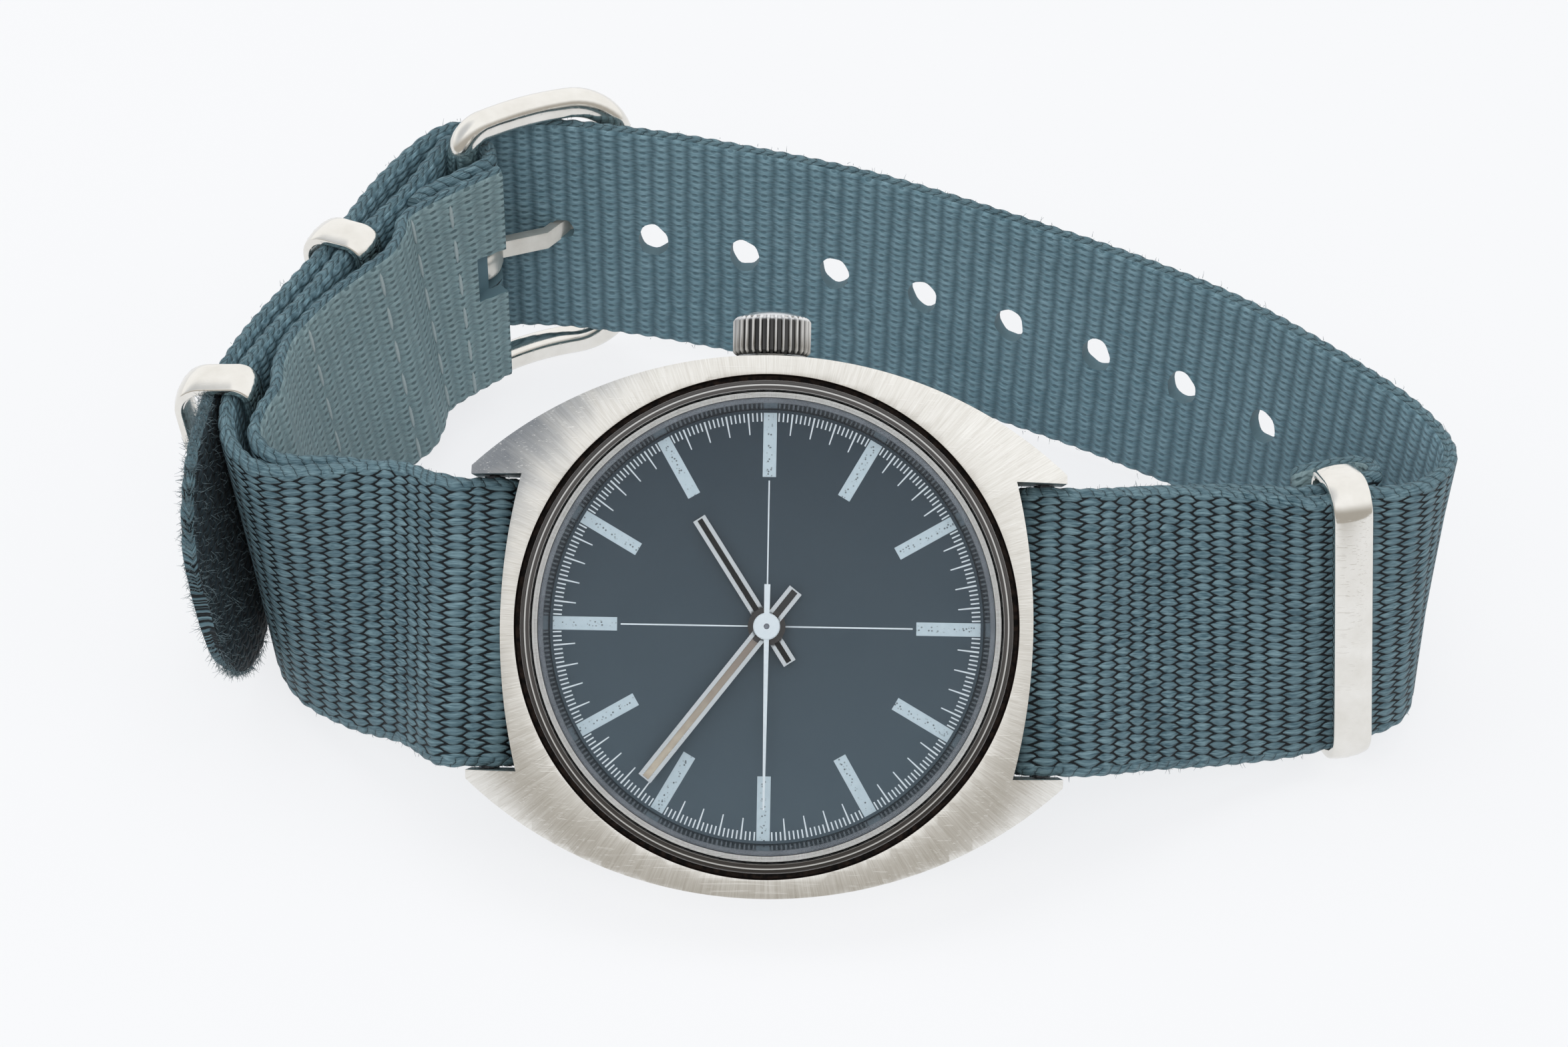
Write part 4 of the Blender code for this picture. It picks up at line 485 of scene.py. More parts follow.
dialPaint, sheet = newMaterial("dialPaint", 0.0, 0.62)
place = headPlace(sheet)
x, y, z = sheet.split(place)
grain = sheet.remap(sheet.noise(place, 3.0), 0.3, 0.7)
cloud = sheet.noise(place, 0.25, 3.0)
dust = sheet.remap(sheet.noise(place, 6.5, 1.0), 0.83, 0.86, 0.0, 0.5)
colour = sheet.blend(grain, tint(36, 55, 66), tint(40, 59, 71))
colour = sheet.blend(sheet.remap(cloud, 0.35, 0.65, 0.0, 0.35), colour, tint(46, 62, 73))
# painted light and shade: the dial is painted lighter towards nine o'clock and darker towards three, standing in for
# the front light's reflection
paintedLightFall = sheet.blend(sheet.remap(y, -13.0, 13.0), tint(72, 88, 98), tint(16, 38, 51))
colour = sheet.blend(0.7, colour, paintedLightFall)
sheet.show(sheet.blend(dust, colour, tint(190, 196, 200)), sheet.remap(cloud, 0.3, 0.7, 0.58, 0.68))

markerPaint, sheet = newMaterial("markerPaint", 0.0, 0.55)
x, y, z = sheet.split(sheet.out('ShaderNodeUVMap', 0, uv_map="marker"))  # millimetres across and along a marker
place = headPlace(sheet)
cells = sheet.outs('ShaderNodeTexVoronoi', {"Vector": place, "Scale": 5.2, "Randomness": 0.9})
chance = sheet.split(cells["Color"])[0]
speck = sheet.remap(cells["Distance"], 0.26, 0.4, 1.0, 0.0) * sheet.remap(abs(x), 0.1, 0.26, 1.0, 0.0)
speck = speck * sheet.math('GREATER_THAN', chance, 0.25)
tone = sheet.blend(sheet.noise(place, 2.2, 3.0), tint(178, 196, 205), tint(198, 213, 220))
sheet.show(sheet.blend(speck * 0.85, tone, tint(52, 58, 66)), None, (speck * -1.0, 0.2, 0.00002))

tanInlay, sheet = newMaterial("tanInlay", 0.0, 0.35)
place = headPlace(sheet)
x, y, z = sheet.split(place)
reach = sheet.out('ShaderNodeVectorMath', "Value", {0: place}, operation='LENGTH')
colour = sheet.blend(sheet.remap(reach, 1.0, 12.5), tint(118, 108, 101), tint(198, 187, 168))
colour = sheet.blend(sheet.remap(sheet.noise(place, 1.2), 0.3, 0.7, 0.0, 0.5), colour, tint(140, 126, 114))
forward = x * -0.613 + y * -0.79  # along the minute hand; its tail is dark
sheet.show(sheet.blend(sheet.remap(forward, -0.6, 0.6), tint(16, 16, 16), colour))

crystalClear, sheet = newMaterial("crystalClear", 0.0, 0.015, {"Base Color": tint(250, 251, 252), "IOR": 1.27,
                                                              "Transmission Weight": 1.0})
hair = sheet.group(wear, {"Place": headPlace(sheet)})["Scratches"]
shader = crystalClear.node_tree.nodes["Principled BSDF"].inputs
sheet.feed(shader["Roughness"], sheet.remap(hair, 0.2, 1.0, 0.0, 0.04))
clear = sheet.out('ShaderNodeBsdfTransparent', 0, {"Color": (0.96, 0.97, 0.97, 1.0)})
sheet.overlay(sheet.out('ShaderNodeLightPath', "Is Shadow Ray"), clear)


def nylonMaterial(name, gap, low, high, warm, look):  # look: share of floats, ribs and pits that shows
    material, sheet = newMaterial(name, 0.0, 0.7, {"Sheen Weight": 0.04, "Sheen Roughness": 0.4,
                                                   "Specular IOR Level": 0.3})
    gap, low, high, warm = [tint(*colour) for colour in (gap, low, high, warm)]
    place = sheet.out('ShaderNodeUVMap', 0, uv_map="weave")
    weave = sheet.group(webbingWeave, {"Place": place})
    yarn = sheet.blend(sheet.remap(weave["Fibre"], 0.36, 0.66), low, high)
    yarn = sheet.blend(sheet.remap(weave["Tone"], 0.0, 1.0, 0.0, 0.4), yarn, warm)
    yarn = sheet.blend(sheet.remap(sheet.noise(place, 0.09, 3.0), 0.35, 0.7, 0.0, 0.25), yarn, high)
    between = (1.0 - weave["Shade"]) * look[0]
    hollow = weave["Pit"] * look[2]
    dark = sheet.math('MAXIMUM', between, sheet.math('MAXIMUM', (1.0 - weave["Rib"]) * look[1], hollow))
    sheet.show(sheet.blend(dark, yarn, gap), sheet.remap(weave["Fibre"], 0.2, 0.8, 0.5, 0.75),
               (weave["Height"] - hollow, 0.3 + 0.65 * look[0], 0.00022))
    return material


strapNylon = nylonMaterial("strapNylon", (2, 11, 17), (50, 79, 91), (126, 155, 165), (76, 101, 112), (1.0, 0.0, 0.0))
# the inner face's own rib and pit weave, painted lighter as well to stand in for the light falling on that face
backNylonPaintedLight = nylonMaterial("backNylonPaintedLight", (40, 68, 80), (108, 144, 158), (152, 184, 197), (122, 153, 166),
                          (0.3, 0.62, 0.5))
# the lining's own pitted weave, painted lighter as well to stand in for the front light falling on it
liningNylonPaintedLight = nylonMaterial("liningNylonPaintedLight", (34, 60, 68), (126, 152, 158), (158, 182, 187), (138, 158, 162),
                            (0.25, 0.3, 0.62))
# painted shade: dark nylon for the tail's inner face near its end
tailPaintedShadeNylon = nylonMaterial("tailPaintedShadeNylon", (5, 9, 12), (26, 37, 43), (54, 68, 75), (32, 43, 50), (0.8, 0.2, 0.0))
print("materials made:", len(bpy.data.materials))


# floor, light and surroundings
studio = {"floor": tint(247, 248, 250), "backdrop": tint(248, 249, 251), "sky": 0.52, "target": (0, 0, 0.01)}
lamps = {"topLight": ((-0.1, 0.25, 0.7), (0.7, 0.6), 1.9, (1.0, 0.995, 0.98)),
         "frontLight": ((-0.05, -0.5, 0.5), (0.6, 0.5), 1.7, (0.99, 0.995, 1.0)),
         "sideLight": ((0.55, -0.15, 0.4), (0.4, 0.4), 0.5, (0.97, 0.985, 1.0)),
         "leftLight": ((-0.5, -0.05, 0.4), (0.4, 0.4), 0.5, (0.98, 0.99, 1.0))}
bpy.ops.object.select_all(action='DESELECT')
bpy.ops.mesh.primitive_plane_add(size=6.0, location=(0, 0, -0.00005))
floor = newest("floor")
floorPaper, sheet = newMaterial("floorPaper", 0.0, 0.9, {"Specular IOR Level": 0.1})
fleck = sheet.noise(sheet.out('ShaderNodeTexCoord', "Object"), 60.0)
sheet.show(sheet.blend(fleck, tint(245, 246, 248), studio["floor"]))
glow = sheet.out('ShaderNodeEmission', 0, {"Color": studio["backdrop"], "Strength": 1.0})
ray = sheet.outs('ShaderNodeLightPath')
seen = sheet.math('MAXIMUM', ray["Is Glossy Ray"], ray["Is Transmission Ray"])
sheet.overlay(sheet.math('MAXIMUM', ray["Is Camera Ray"], seen) * 0.82, glow)
floor.data.materials.append(floorPaper)

world = bpy.data.worlds.new("studioRoom")
bpy.context.scene.world = world
world.use_nodes = True
sheet = Sheet(world.node_tree)
back = world.node_tree.nodes["Background"].inputs
x, y, z = sheet.split(sheet.out('ShaderNodeTexCoord', "Generated"))
upward = sheet.remap(z * 0.8 + y * 0.6, -0.2, 0.34, smooth=True)
room = sheet.blend(upward, (0.47, 0.445, 0.405, 1.0), (1.08, 1.08, 1.08, 1.0))
card = sheet.remap(x * -0.72 + z * 0.66, 0.72, 0.98, 0.0, 0.6, True)  # a grey card on the upper left
room = sheet.blend(card, room, (0.36, 0.39, 0.43, 1.0))
ray = sheet.outs('ShaderNodeLightPath')
plain = sheet.math('MAXIMUM', ray["Is Camera Ray"], ray["Is Transmission Ray"])
seen = sheet.math('MAXIMUM', plain, ray["Is Glossy Ray"])
sheet.feed(back["Color"], sheet.blend(plain, room, studio["backdrop"]))
sheet.feed(back["Strength"], sheet.remap(seen, 0.0, 1.0, studio["sky"], 1.0))
for name, (place, size, power, colour) in lamps.items():
    data = bpy.data.lights.new(name, 'AREA')
    data.shape = 'RECTANGLE'
    data.size, data.size_y = size
    data.energy = power
    data.color = colour
    lamp = bpy.data.objects.new(name, data)
    bpy.context.collection.objects.link(lamp)
    lamp.location = place
    lamp.rotation_euler = (Vector(studio["target"]) - Vector(place)).to_track_quat('-Z', 'Y').to_euler()
    lamp.visible_glossy = False  # reflections come from the room alone
    lamp.visible_transmission = False
print("floor and lights ready")


# strap: the same route as the solid, in millimetres from the dial's foot point
strap = {"width": 20.0, "thick": 1.2, "layer": 1.45, "bendLayer": 1.85, "rod": 2.4, "foldRadius": 2.15,
         "buckleLift": 3.1, "keeperLift": 2.0, "barX": 19.4, "barZ": -4.1, "overBar": 1.47, "underBack": -8.5,
         "seatHalf": 8.0, "bulge": 1.7, "wrap": 1.7, "barEdge": 1.3, "step": webbing["column"] / 6, "rib": 0.08,
         "tailRound": 8.5, "paintedShadeFromEnd": 15.5, "fray": 0.14}
headInRoot = (Matrix.Translation((0, 0, head["dial"].z / head["mm"]))
              @ Matrix.Rotation(math.radians(head["lean"]), 4, 'X'))
buckleLift, keeperLift = strap["buckleLift"], strap["keeperLift"]


def stationAt(x, y, lift, leanX, leanY):
    rise = math.sqrt(strap["width"] ** 2 - leanX ** 2 - leanY ** 2)
    across = Vector((leanX, leanY, rise))
    return Vector((x, y, lift)) + across / 2, across.normalized()


def stationsAt(*rows):
    return [stationAt(*row) for row in rows]


def headStation(x, z):
    return headInRoot @ Vector((x, 0, z)), headInRoot.to_3x3() @ Vector((0, 1, 0))


def blendFour(points, part):
    a, b, c, d = points
    bend = (2 * a - 5 * b + 4 * c - d) * part ** 2 + (3 * b - a - 3 * c + d) * part ** 3
    return (2 * b + (c - a) * part + bend) / 2


def framesOf(places):
    frames = []
    for k, (middle, across) in enumerate(places):
        along = (places[min(k + 1, len(places) - 1)][0] - places[max(k - 1, 0)][0]).normalized()
        frames.append((middle, along, across, along.cross(across).normalized()))
    return frames


def smoothRoute(stations, spacing):
    padded = [stations[0]] + stations + [stations[-1]]
    places = []
    for k in range(len(stations) - 1):
        four = padded[k:k + 4]
        steps = max(1, round((four[2][0] - four[1][0]).length / spacing))
        for m in range(steps):
            middle = blendFour([p[0] for p in four], m / steps)
            places.append((middle, blendFour([p[1] for p in four], m / steps).normalized()))
    places.append(stations[-1])
    return framesOf(places)


def shifted(stations, amounts):
    moved = []
    for k, (middle, across) in enumerate(stations):
        along = stations[min(k + 1, len(stations) - 1)][0] - stations[max(k - 1, 0)][0]
        moved.append((middle + along.cross(across).normalized() * amounts[k], across))
    return moved


leftSide = stationsAt((-26.8, 42.0, buckleLift - 0.4, -1.6, 0.3), (-30.3, 35.7, keeperLift + 0.1, -2.0, 0.2),
                      (-32.6, 30.3, keeperLift, -2.2, 0.0), (-35.0, 24.4, keeperLift, -2.4, 0.4),
                      (-36.6, 17.8, keeperLift + 0.1, -2.6, 1.2))
leftFront = stationsAt((-36.2, 11.4, keeperLift - 0.2, -2.6, 2.6), (-34.3, 7.0, keeperLift - 0.2, -1.6, 4.0),
                       (-30.4, 3.2, 2.9, -0.7, 8.0), (-26.0, -0.6, 5.4, -0.3, 12.2))
rightFront = stationsAt((28.4, -1.9, 5.4, -0.3, 13.6), (34.0, 0.8, 3.2, -0.6, 10.7), (39.2, 2.8, 2.2, -1.2, 7.2))
rightBend = stationsAt((42.4, 3.7, keeperLift + 0.6, -1.6, 6.5), (46.8, 6.8, keeperLift, -0.9, 4.2),
                       (47.8, 13.0, keeperLift - 0.2, 0.8, 1.0), (46.9, 18.3, 1.2, 0.8, 0.4),
                       (43.8, 23.0, 1.0, 0.4, 0.6))
backRun = stationsAt((36.3, 30.5, 0.8, 0.2, 0.8), (28.8, 35.4, 0.8, 0.2, 1.0), (20.6, 39.6, 1.0, 0.1, 1.0),
                     (8.0, 44.8, 1.6, 0.1, 1.0), (-3.8, 47.4, 2.3, 0.1, 1.2), (-11.5, 48.3, buckleLift, 0.0, 1.0))
rodAt, rodUp = stationAt(-24.6, 45.0, buckleLift, 0.0, 1.0)
foldAlong = rodAt - leftSide[0][0]
foldAlong = (foldAlong - rodUp * foldAlong.dot(rodUp)).normalized()
foldOut = rodUp.cross(foldAlong).normalized()
if foldOut.x > 0:
    foldOut = -foldOut


def aroundRod(angle, radius):
    a = math.radians(angle)
    return rodAt + foldOut * (radius * math.sin(a)) + foldAlong * (radius * math.cos(a)), rodUp


def lugStations(end):  # over the spring bar and down behind it to the case back
    x, z, over, under = strap["barX"], strap["barZ"], strap["overBar"], strap["underBack"]
    rows = [(x + 3.4, z + over - 0.35), (x + 1.0, z + over - 0.1), (x, z + over), (x - over * 0.72, z + over * 0.72),
            (x - over, z), (x - over - 0.15, z - 1.9), (x - over - 1.2, z - 3.6), (x - over - 3.4, under - 0.1),
            (x - over - 7.0, under)]
    return [headStation(end * a, b) for a, b in rows]


innerLeft = shifted(leftSide, [-strap["layer"]] * len(leftSide))
foldEnd = [(innerLeft[0][0].lerp(innerLeft[1][0], 0.2), innerLeft[0][1]), innerLeft[0]]
fold = [aroundRod(angle, strap["foldRadius"]) for angle in (-90, -55, -18, 18, 55, 90)]
overRod = strap["foldRadius"] + strap["layer"]
tailOverFold = [stationAt(-18.6, 49.3, buckleLift, 0.0, 1.0), aroundRod(40, overRod + 0.5), aroundRod(88, overRod)]
tail = shifted(leftSide, [layer + strap["layer"] for layer in (1.1, 0.15, 0.3, 0.2, 0.0)])
tailFree = [stationAt(-38.3, 11.4, keeperLift, -2.8, 2.6), stationAt(-39.0, 4.2, keeperLift + 0.2, -2.8, 2.6)]
longRoute = foldEnd + fold + leftSide + leftFront + lugStations(-1) + lugStations(1)[::-1]
longRoute += rightFront + rightBend + backRun + tailOverFold + tail + tailFree
longFrames = smoothRoute(longRoute, 2.8)


def frameNear(place):
    return min(longFrames, key=lambda one: (one[0] - place[0]).length)


def inside(first, last, base):  # places inside the long strap; the layer stands off over a sewn-in bar
    start = longFrames.index(frameNear(first))
    places = []
    for middle, along, across, outward in longFrames[start:longFrames.index(frameNear(last)) + 1]:
        near = min((middle - leftSide[k][0]).length for k in (1, 4))
        places.append((middle - outward * (base + strap["bulge"] * math.exp(-(near / 4) ** 2)), across))
    return places


def underHead(end):
    x, z, under = strap["barX"], strap["barZ"], strap["underBack"]
    seat = under - strap["layer"] - 0.2
    rows = [(x + 1.6, z - 3.2), (x - 2.6, under - 1.3), (x - 7.0, seat), (strap["seatHalf"], seat)]
    return [headStation(end * a, b) for a, b in rows]


leftInner = inside(leftSide[0], leftFront[2], strap["layer"] + 0.2)
leftInner = [(leftInner[0][0].lerp(leftInner[1][0], 0.8), leftInner[0][1])] + leftInner[1:]
rightInner = inside(rightFront[0], rightBend[0], strap["bendLayer"])
ringFrame = frameNear(rightBend[0])
barInside = -(strap["bendLayer"] + strap["wrap"])


def besideRing(alongStep, outwardStep):
    middle, along, across, outward = ringFrame
    return middle + along * alongStep + outward * outwardStep, across


barEdge, wrap = strap["barEdge"], strap["wrap"]
wrapping = [besideRing(barEdge, barInside + wrap)]
for angle in (45, 0, -45, -90):
    a = math.radians(angle)
    wrapping.append(besideRing(barEdge + wrap * math.cos(a) * 1.15, barInside + wrap * math.sin(a)))
wrapping += [besideRing(-barEdge, barInside - wrap)]
wrapping += inside(rightFront[2], rightBend[0], strap["bendLayer"] + 2 * wrap)[-2::-1]
lining = [aroundRod(-84, strap["foldRadius"] + strap["layer"] + 0.1)]
shortRoute = lining + leftInner[1:] + underHead(-1) + underHead(1)[::-1] + rightInner + wrapping


def evenFrames(route, step):  # frames at equal steps along the strap
    fine = smoothRoute(route, 0.3)
    lengths = [0.0]
    for first, second in zip(fine, fine[1:]):
        lengths.append(lengths[-1] + (second[0] - first[0]).length)
    count = int(lengths[-1] / step)
    places, k = [], 0
    for m in range(count + 1):
        want = lengths[-1] * m / count
        while k < len(lengths) - 2 and lengths[k + 1] < want:
            k += 1
        part = (want - lengths[k]) / (lengths[k + 1] - lengths[k])
        places.append((fine[k][0].lerp(fine[k + 1][0], part), fine[k][2].lerp(fine[k + 1][2], part).normalized()))
    return framesOf(places), lengths[-1]


def webbingBand(name, route, roundEnd, cloths):
    frames, length = evenFrames(route, strap["step"])
    half, thick, rows = strap["width"] / 2 + strap["fray"], strap["thick"] / 2, 8
    lip, inset, brim, drop, side = 0.25, 0.6, 0.3, 0.12, 0.42  # lanes near the edge, and how it rounds over
    points, coords, faces = [], [], []
    lanes = [-half + lip] + [-half + inset + (2 * half - 2 * inset) * k / rows for k in range(rows + 1)] + [half - lip]
    for k, (middle, along, across, outward) in enumerate(frames):
        v = length * k / (len(frames) - 1)
        phase = v / webbing["column"]
        groove = math.cos(math.pi * phase) ** 2  # 0 at a column's edge, 1 at its middle
        depth = thick - strap["rib"] * (1 - groove ** 0.7)
        wide = half - 0.09 * (1 - groove ** 0.6)
        left = length - v
        if roundEnd and left < strap["tailRound"]:
            wide -= strap["tailRound"] - math.sqrt(max(strap["tailRound"] ** 2 - (strap["tailRound"] - left) ** 2, 0))
        heights = [depth if abs(lane) < half - brim else depth - drop for lane in lanes]
        ring = list(zip(lanes, heights, lanes))
        ring += [(half, depth - side, half + brim), (half, side - depth, half + 3 * brim)]
        ring += [(lane, -height, lane) for lane, height in zip(lanes[::-1], heights[::-1])]
        ring += [(-half, side - depth, -half - 3 * brim), (-half, depth - side, -half - brim)]
        for a, b, u in ring:
            points.append(middle + across * (a * wide / half) + outward * b)
            coords.append((u * wide / half if left < strap["tailRound"] else u, v))
    count = 2 * len(lanes) + 4
    for k in range(len(frames) - 1):
        for m in range(count):
            n = (m + 1) % count
            faces.append((k * count + m, k * count + n, (k + 1) * count + n, (k + 1) * count + m))
    faces.append(tuple(range(count))[::-1])
    faces.append(tuple(range((len(frames) - 1) * count, len(frames) * count)))
    band = fromMesh(name, points, [], faces)
    coated(band, cloths)
    for k, face in enumerate(band.data.polygons):
        face.material_index = 1 if len(lanes) + 1 < k % count < 2 * len(lanes) + 2 else 0
        # painted shade: inner faces near the tail's end take the dark nylon
        if roundEnd and face.material_index and length - k // count * strap["step"] < strap["paintedShadeFromEnd"]:
            face.material_index = 2
    layer = band.data.uv_layers.new(name="weave")
    for face in band.data.polygons:
        for loop in face.loop_indices:
            layer.data[loop].uv = coords[band.data.loops[loop].vertex_index]
    editAll(band)
    bpy.ops.mesh.normals_make_consistent(inside=False)
    editDone()
    smoothed(band, 50)
    return band, frames, length


longStrap, longFine, longLength = webbingBand("longStrap", longRoute, True, [strapNylon, backNylonPaintedLight, tailPaintedShadeNylon])
shortStrap, shortFine, shortLength = webbingBand("shortStrap", shortRoute, False, [strapNylon, liningNylonPaintedLight])
print("straps laid: %.1f and %.1f mm" % (longLength, shortLength))

# buckle's own frame, and the holes along the middle of the strap
buckle = {"reach": 13.2, "sideGap": 0.4, "corner": 4.0, "pivotCorner": 2.0, "farGap": 0.6, "slot": 3.4, "bow": 1.1,
          "flat": 0.06}
farOut = Vector((-0.05, 1.0, 0.0)).normalized()
farBar = backRun[-1][0] + farOut * (strap["thick"] / 2 + buckle["farGap"] + strap["rod"] / 2) + Vector((-0.8, 0, 0))
buckleAlong = farBar - rodAt
buckleAlong = (buckleAlong - rodUp * buckleAlong.dot(rodUp)).normalized()
buckleOut = rodUp.cross(buckleAlong)
holes = {"radius": 1.2, "tall": 1.25, "pitch": 7.5, "count": 12, "onTail": 3, "inUseLength": 2.0, "inUseRadius": 0.86,
         "fromRod": 8.4, "corners": 28}
lengths = [0.0]
for first, second in zip(longFrames, longFrames[1:]):
    lengths.append(lengths[-1] + (second[0] - first[0]).length)


def frameAt(length):
    k = max(i for i in range(len(lengths) - 1) if lengths[i] <= length)
    part = (length - lengths[k]) / (lengths[k + 1] - lengths[k])
    return [longFrames[k][i].lerp(longFrames[k + 1][i], part) for i in range(4)]


def fromRod(length):
    step = frameAt(length)[0] - rodAt
    return step.dot(buckleAlong), step.dot(buckleOut)


first, last = [lengths[longFrames.index(frameNear(place))] for place in (backRun[-1], tail[0])]
tries = [first + (last - first) * k / 200 for k in range(200)]
holeLength = min(tries, key=lambda length: abs(fromRod(length)[0] - holes["fromRod"]))
holeReach, holeOut = fromRod(holeLength)
punches = []
for k in range(holes["count"]):
    middle, along, across, outward = frameAt(holeLength + (holes["onTail"] - k) * holes["pitch"])
    inUse = k == holes["onTail"]
    radius = holes["inUseRadius"] if inUse else holes["radius"]
    stretch = holes["inUseLength"] / 2 - radius if inUse else 0.0
    tall = 1.0 if inUse else holes["tall"]
    loops = []
    for depth in (-0.8, 0.8):
        loop = []
        for m in range(holes["corners"]):
            a = math.tau * (m + 0.5) / holes["corners"]
            ragged = radius * (1 + 0.035 * math.sin(3 * a + k) + 0.02 * math.sin(7 * a + 2 * k))
            shift = math.copysign(stretch, math.cos(a))
            spot = along * (ragged * math.cos(a) + shift) + across * (ragged * tall * math.sin(a))
            loop.append(middle + spot + outward * depth)
        loops.append(loop)
    punches.append(lofted("punch%d" % k, loops, False))
cut(longStrap, joined("punches", punches))


def slotCutter(name, along, out, up):  # a box in the fold's own directions
    corners = ((along[0], out[0]), (along[1], out[0]), (along[1], out[1]), (along[0], out[1]))
    loops = [[rodAt + foldAlong * a + foldOut * b + rodUp * c for a, b in corners] for c in up]
    return lofted(name, loops, False)


slotReach = strap["foldRadius"] + strap["thick"] / 2
slots = {"slot": ((-slotReach - 0.6, slotReach + 0.6), (-slotReach - 1.0, slotReach + 0.12),
                  (-buckle["slot"] / 2, buckle["slot"] / 2)),
         "liningSlot": ((-2.3, 4.0), (-7.0, -2.9), (-1.5, 2.6))}  # taller above, where the tongue's eye shows
cut(longStrap, slotCutter("slot", *slots["slot"]))
cut(shortStrap, slotCutter("liningSlot", *slots["liningSlot"]))
dressed(longStrap, [strapNylon, backNylonPaintedLight, tailPaintedShadeNylon], "watch", ["long_strap"], rootMatrix)
dressed(shortStrap, [strapNylon, liningNylonPaintedLight], "watch", ["short_strap"], rootMatrix)
longLength * head["mm"]
shortLength * head["mm"]
print("strap holes punched")


# keepers: flat bands bent into rings, rounded on their outer side
keepers = {"band": 2.9, "thick": 0.8, "corner": 1.2, "wide": 2.2, "top": 10.55, "foot": 11.0, "sewn": -1.55,
           "nearOuter": 3.6, "farOuter": 4.05, "endOuter": 1.45}


def keeperRing(name, node, place, inner, outer):
    middle, along, across, outward = place
    loops = []
    corners = [(outer, keepers["top"], 0, keepers["wide"]), (inner, keepers["top"], 90, keepers["corner"]),
               (inner, -keepers["foot"], 180, keepers["corner"]), (outer, -keepers["foot"], 270, keepers["wide"])]
    for side, height, start, corner in corners:
        turnX = side - math.copysign(corner, side)
        turnZ = height - math.copysign(corner, height)
        for k in range(11):
            a = math.radians(start + 9 * k)
            loop = []
            for wide, deep in ((-1, -1), (1, -1), (1, 0.5), (0.55, 0.9), (0, 1.05), (-0.55, 0.9), (-1, 0.5)):
                radius = corner + deep * keepers["thick"] / 2
                spot = middle + outward * (turnX + radius * math.cos(a)) + across * (turnZ + radius * math.sin(a))
                loop.append(spot + along * (wide * keepers["band"] / 2))
            loops.append(loop)
    ring = lofted(name, loops, True)
    beveled(ring, 0.16, 35, 3)
    smoothed(ring, 50)
    return dressed(ring, [polishedSteel], "watch", [node], rootMatrix)


keeperRing("keeperNearBuckle", "keeper_near_buckle", frameNear(leftSide[1]), keepers["sewn"], keepers["nearOuter"])
keeperRing("keeperFar", "keeper_far", frameNear(leftSide[4]), keepers["sewn"], keepers["farOuter"])
keeperRing("endKeeper", "end_keeper", ringFrame, barInside, keepers["endOuter"])

# buckle ring, its two sides bowed away from the wrist, and tongue
rod = strap["rod"] / 2
half = strap["width"] / 2 + buckle["sideGap"] + rod
reach, corner, pivot = buckle["reach"], buckle["corner"], buckle["pivotCorner"]
far = reach - corner


def rodTurn(along, up, start, radius):  # a quarter turn of the rod's line
    return [(along, up, start + 7.5 * k, radius) for k in range(13)]


def rodSide(start, end, up, angle):
    return [(start + (end - start) * k / 8, up, angle, 0) for k in range(1, 8)]


bends = rodTurn(far, half - corner, 0, corner) + rodSide(far, pivot, half, 90)
bends += rodTurn(pivot, half - pivot, 90, pivot) + rodTurn(pivot, pivot - half, 180, pivot)
bends += rodSide(pivot, far, -half, 270) + rodTurn(far, corner - half, 270, corner)
loops = []
for alongStep, upStep, angle, radius in bends:
    a = math.radians(angle)
    spoke = buckleAlong * math.cos(a) + rodUp * math.sin(a)
    centre = rodAt + buckleAlong * alongStep + rodUp * upStep + spoke * radius
    step = min(max((centre - rodAt).dot(buckleAlong) / reach, 0), 1)
    centre += buckleOut * (buckle["bow"] * math.sin(math.pi * step))
    loop = []
    for m in range(24):
        t = math.tau * m / 24
        radius = rod * (1 - buckle["flat"] * math.cos(2 * t) ** 2)  # a rod with slightly flattened sides
        loop.append(centre + spoke * (radius * math.cos(t)) + buckleOut * (radius * math.sin(t)))
    loops.append(loop)
buckleRing = lofted("buckleRing", loops, True)
smoothed(buckleRing, 60)
dressed(buckleRing, [polishedSteel], "buckle", ["buckle_frame"], rootMatrix)

tongue = {"halfWidth": 0.768, "thick": 0.9, "eyeInner": 1.3, "eyeWall": 1.5, "eyeHalf": 1.15, "rest": 1.75,
          "heel": (1.6, 0.1), "besideHole": 1.8, "dip": 0.8, "overhang": 1.2}
bar = []
eye = tongue["eyeInner"] + tongue["eyeWall"]
path = [tongue["heel"], (holeReach - tongue["besideHole"], holeOut - tongue["dip"]),
        (holeReach + tongue["besideHole"], tongue["rest"] + 0.15),
        (buckle["reach"] + tongue["overhang"], tongue["rest"] + 0.1)]
for reach, out in path:
    loop = []
    for deep, wide in ((-1, -1), (1, -1), (1, 1), (-1, 1)):
        loop.append((reach, out + deep * tongue["thick"] / 2, wide * tongue["halfWidth"]))
    bar.append(loop)
finger = lofted("finger", bar, False)
inner, tall = tongue["eyeInner"], tongue["eyeHalf"]
outline = [(inner, -tall), (eye - 0.5, -tall), (eye - 0.15, -tall * 0.8), (eye, -tall * 0.4), (eye, tall * 0.4)]
outline += [(eye - 0.15, tall * 0.8), (eye - 0.5, tall), (inner, tall), (inner, -tall)]
tongueBar = turned("tongueBar", outline, 48)
combine(tongueBar, finger, 'UNION')
beveled(tongueBar, 0.14, 40, 3)
smoothed(tongueBar, 40)
toBuckle = Matrix((buckleAlong, buckleOut, rodUp)).transposed().to_4x4()
dressed(tongueBar, [tongueSteel], "tongue", ["buckle_tongue"],
        rootMatrix @ Matrix.Translation(rodAt) @ toBuckle)
print("keepers, buckle and tongue made")


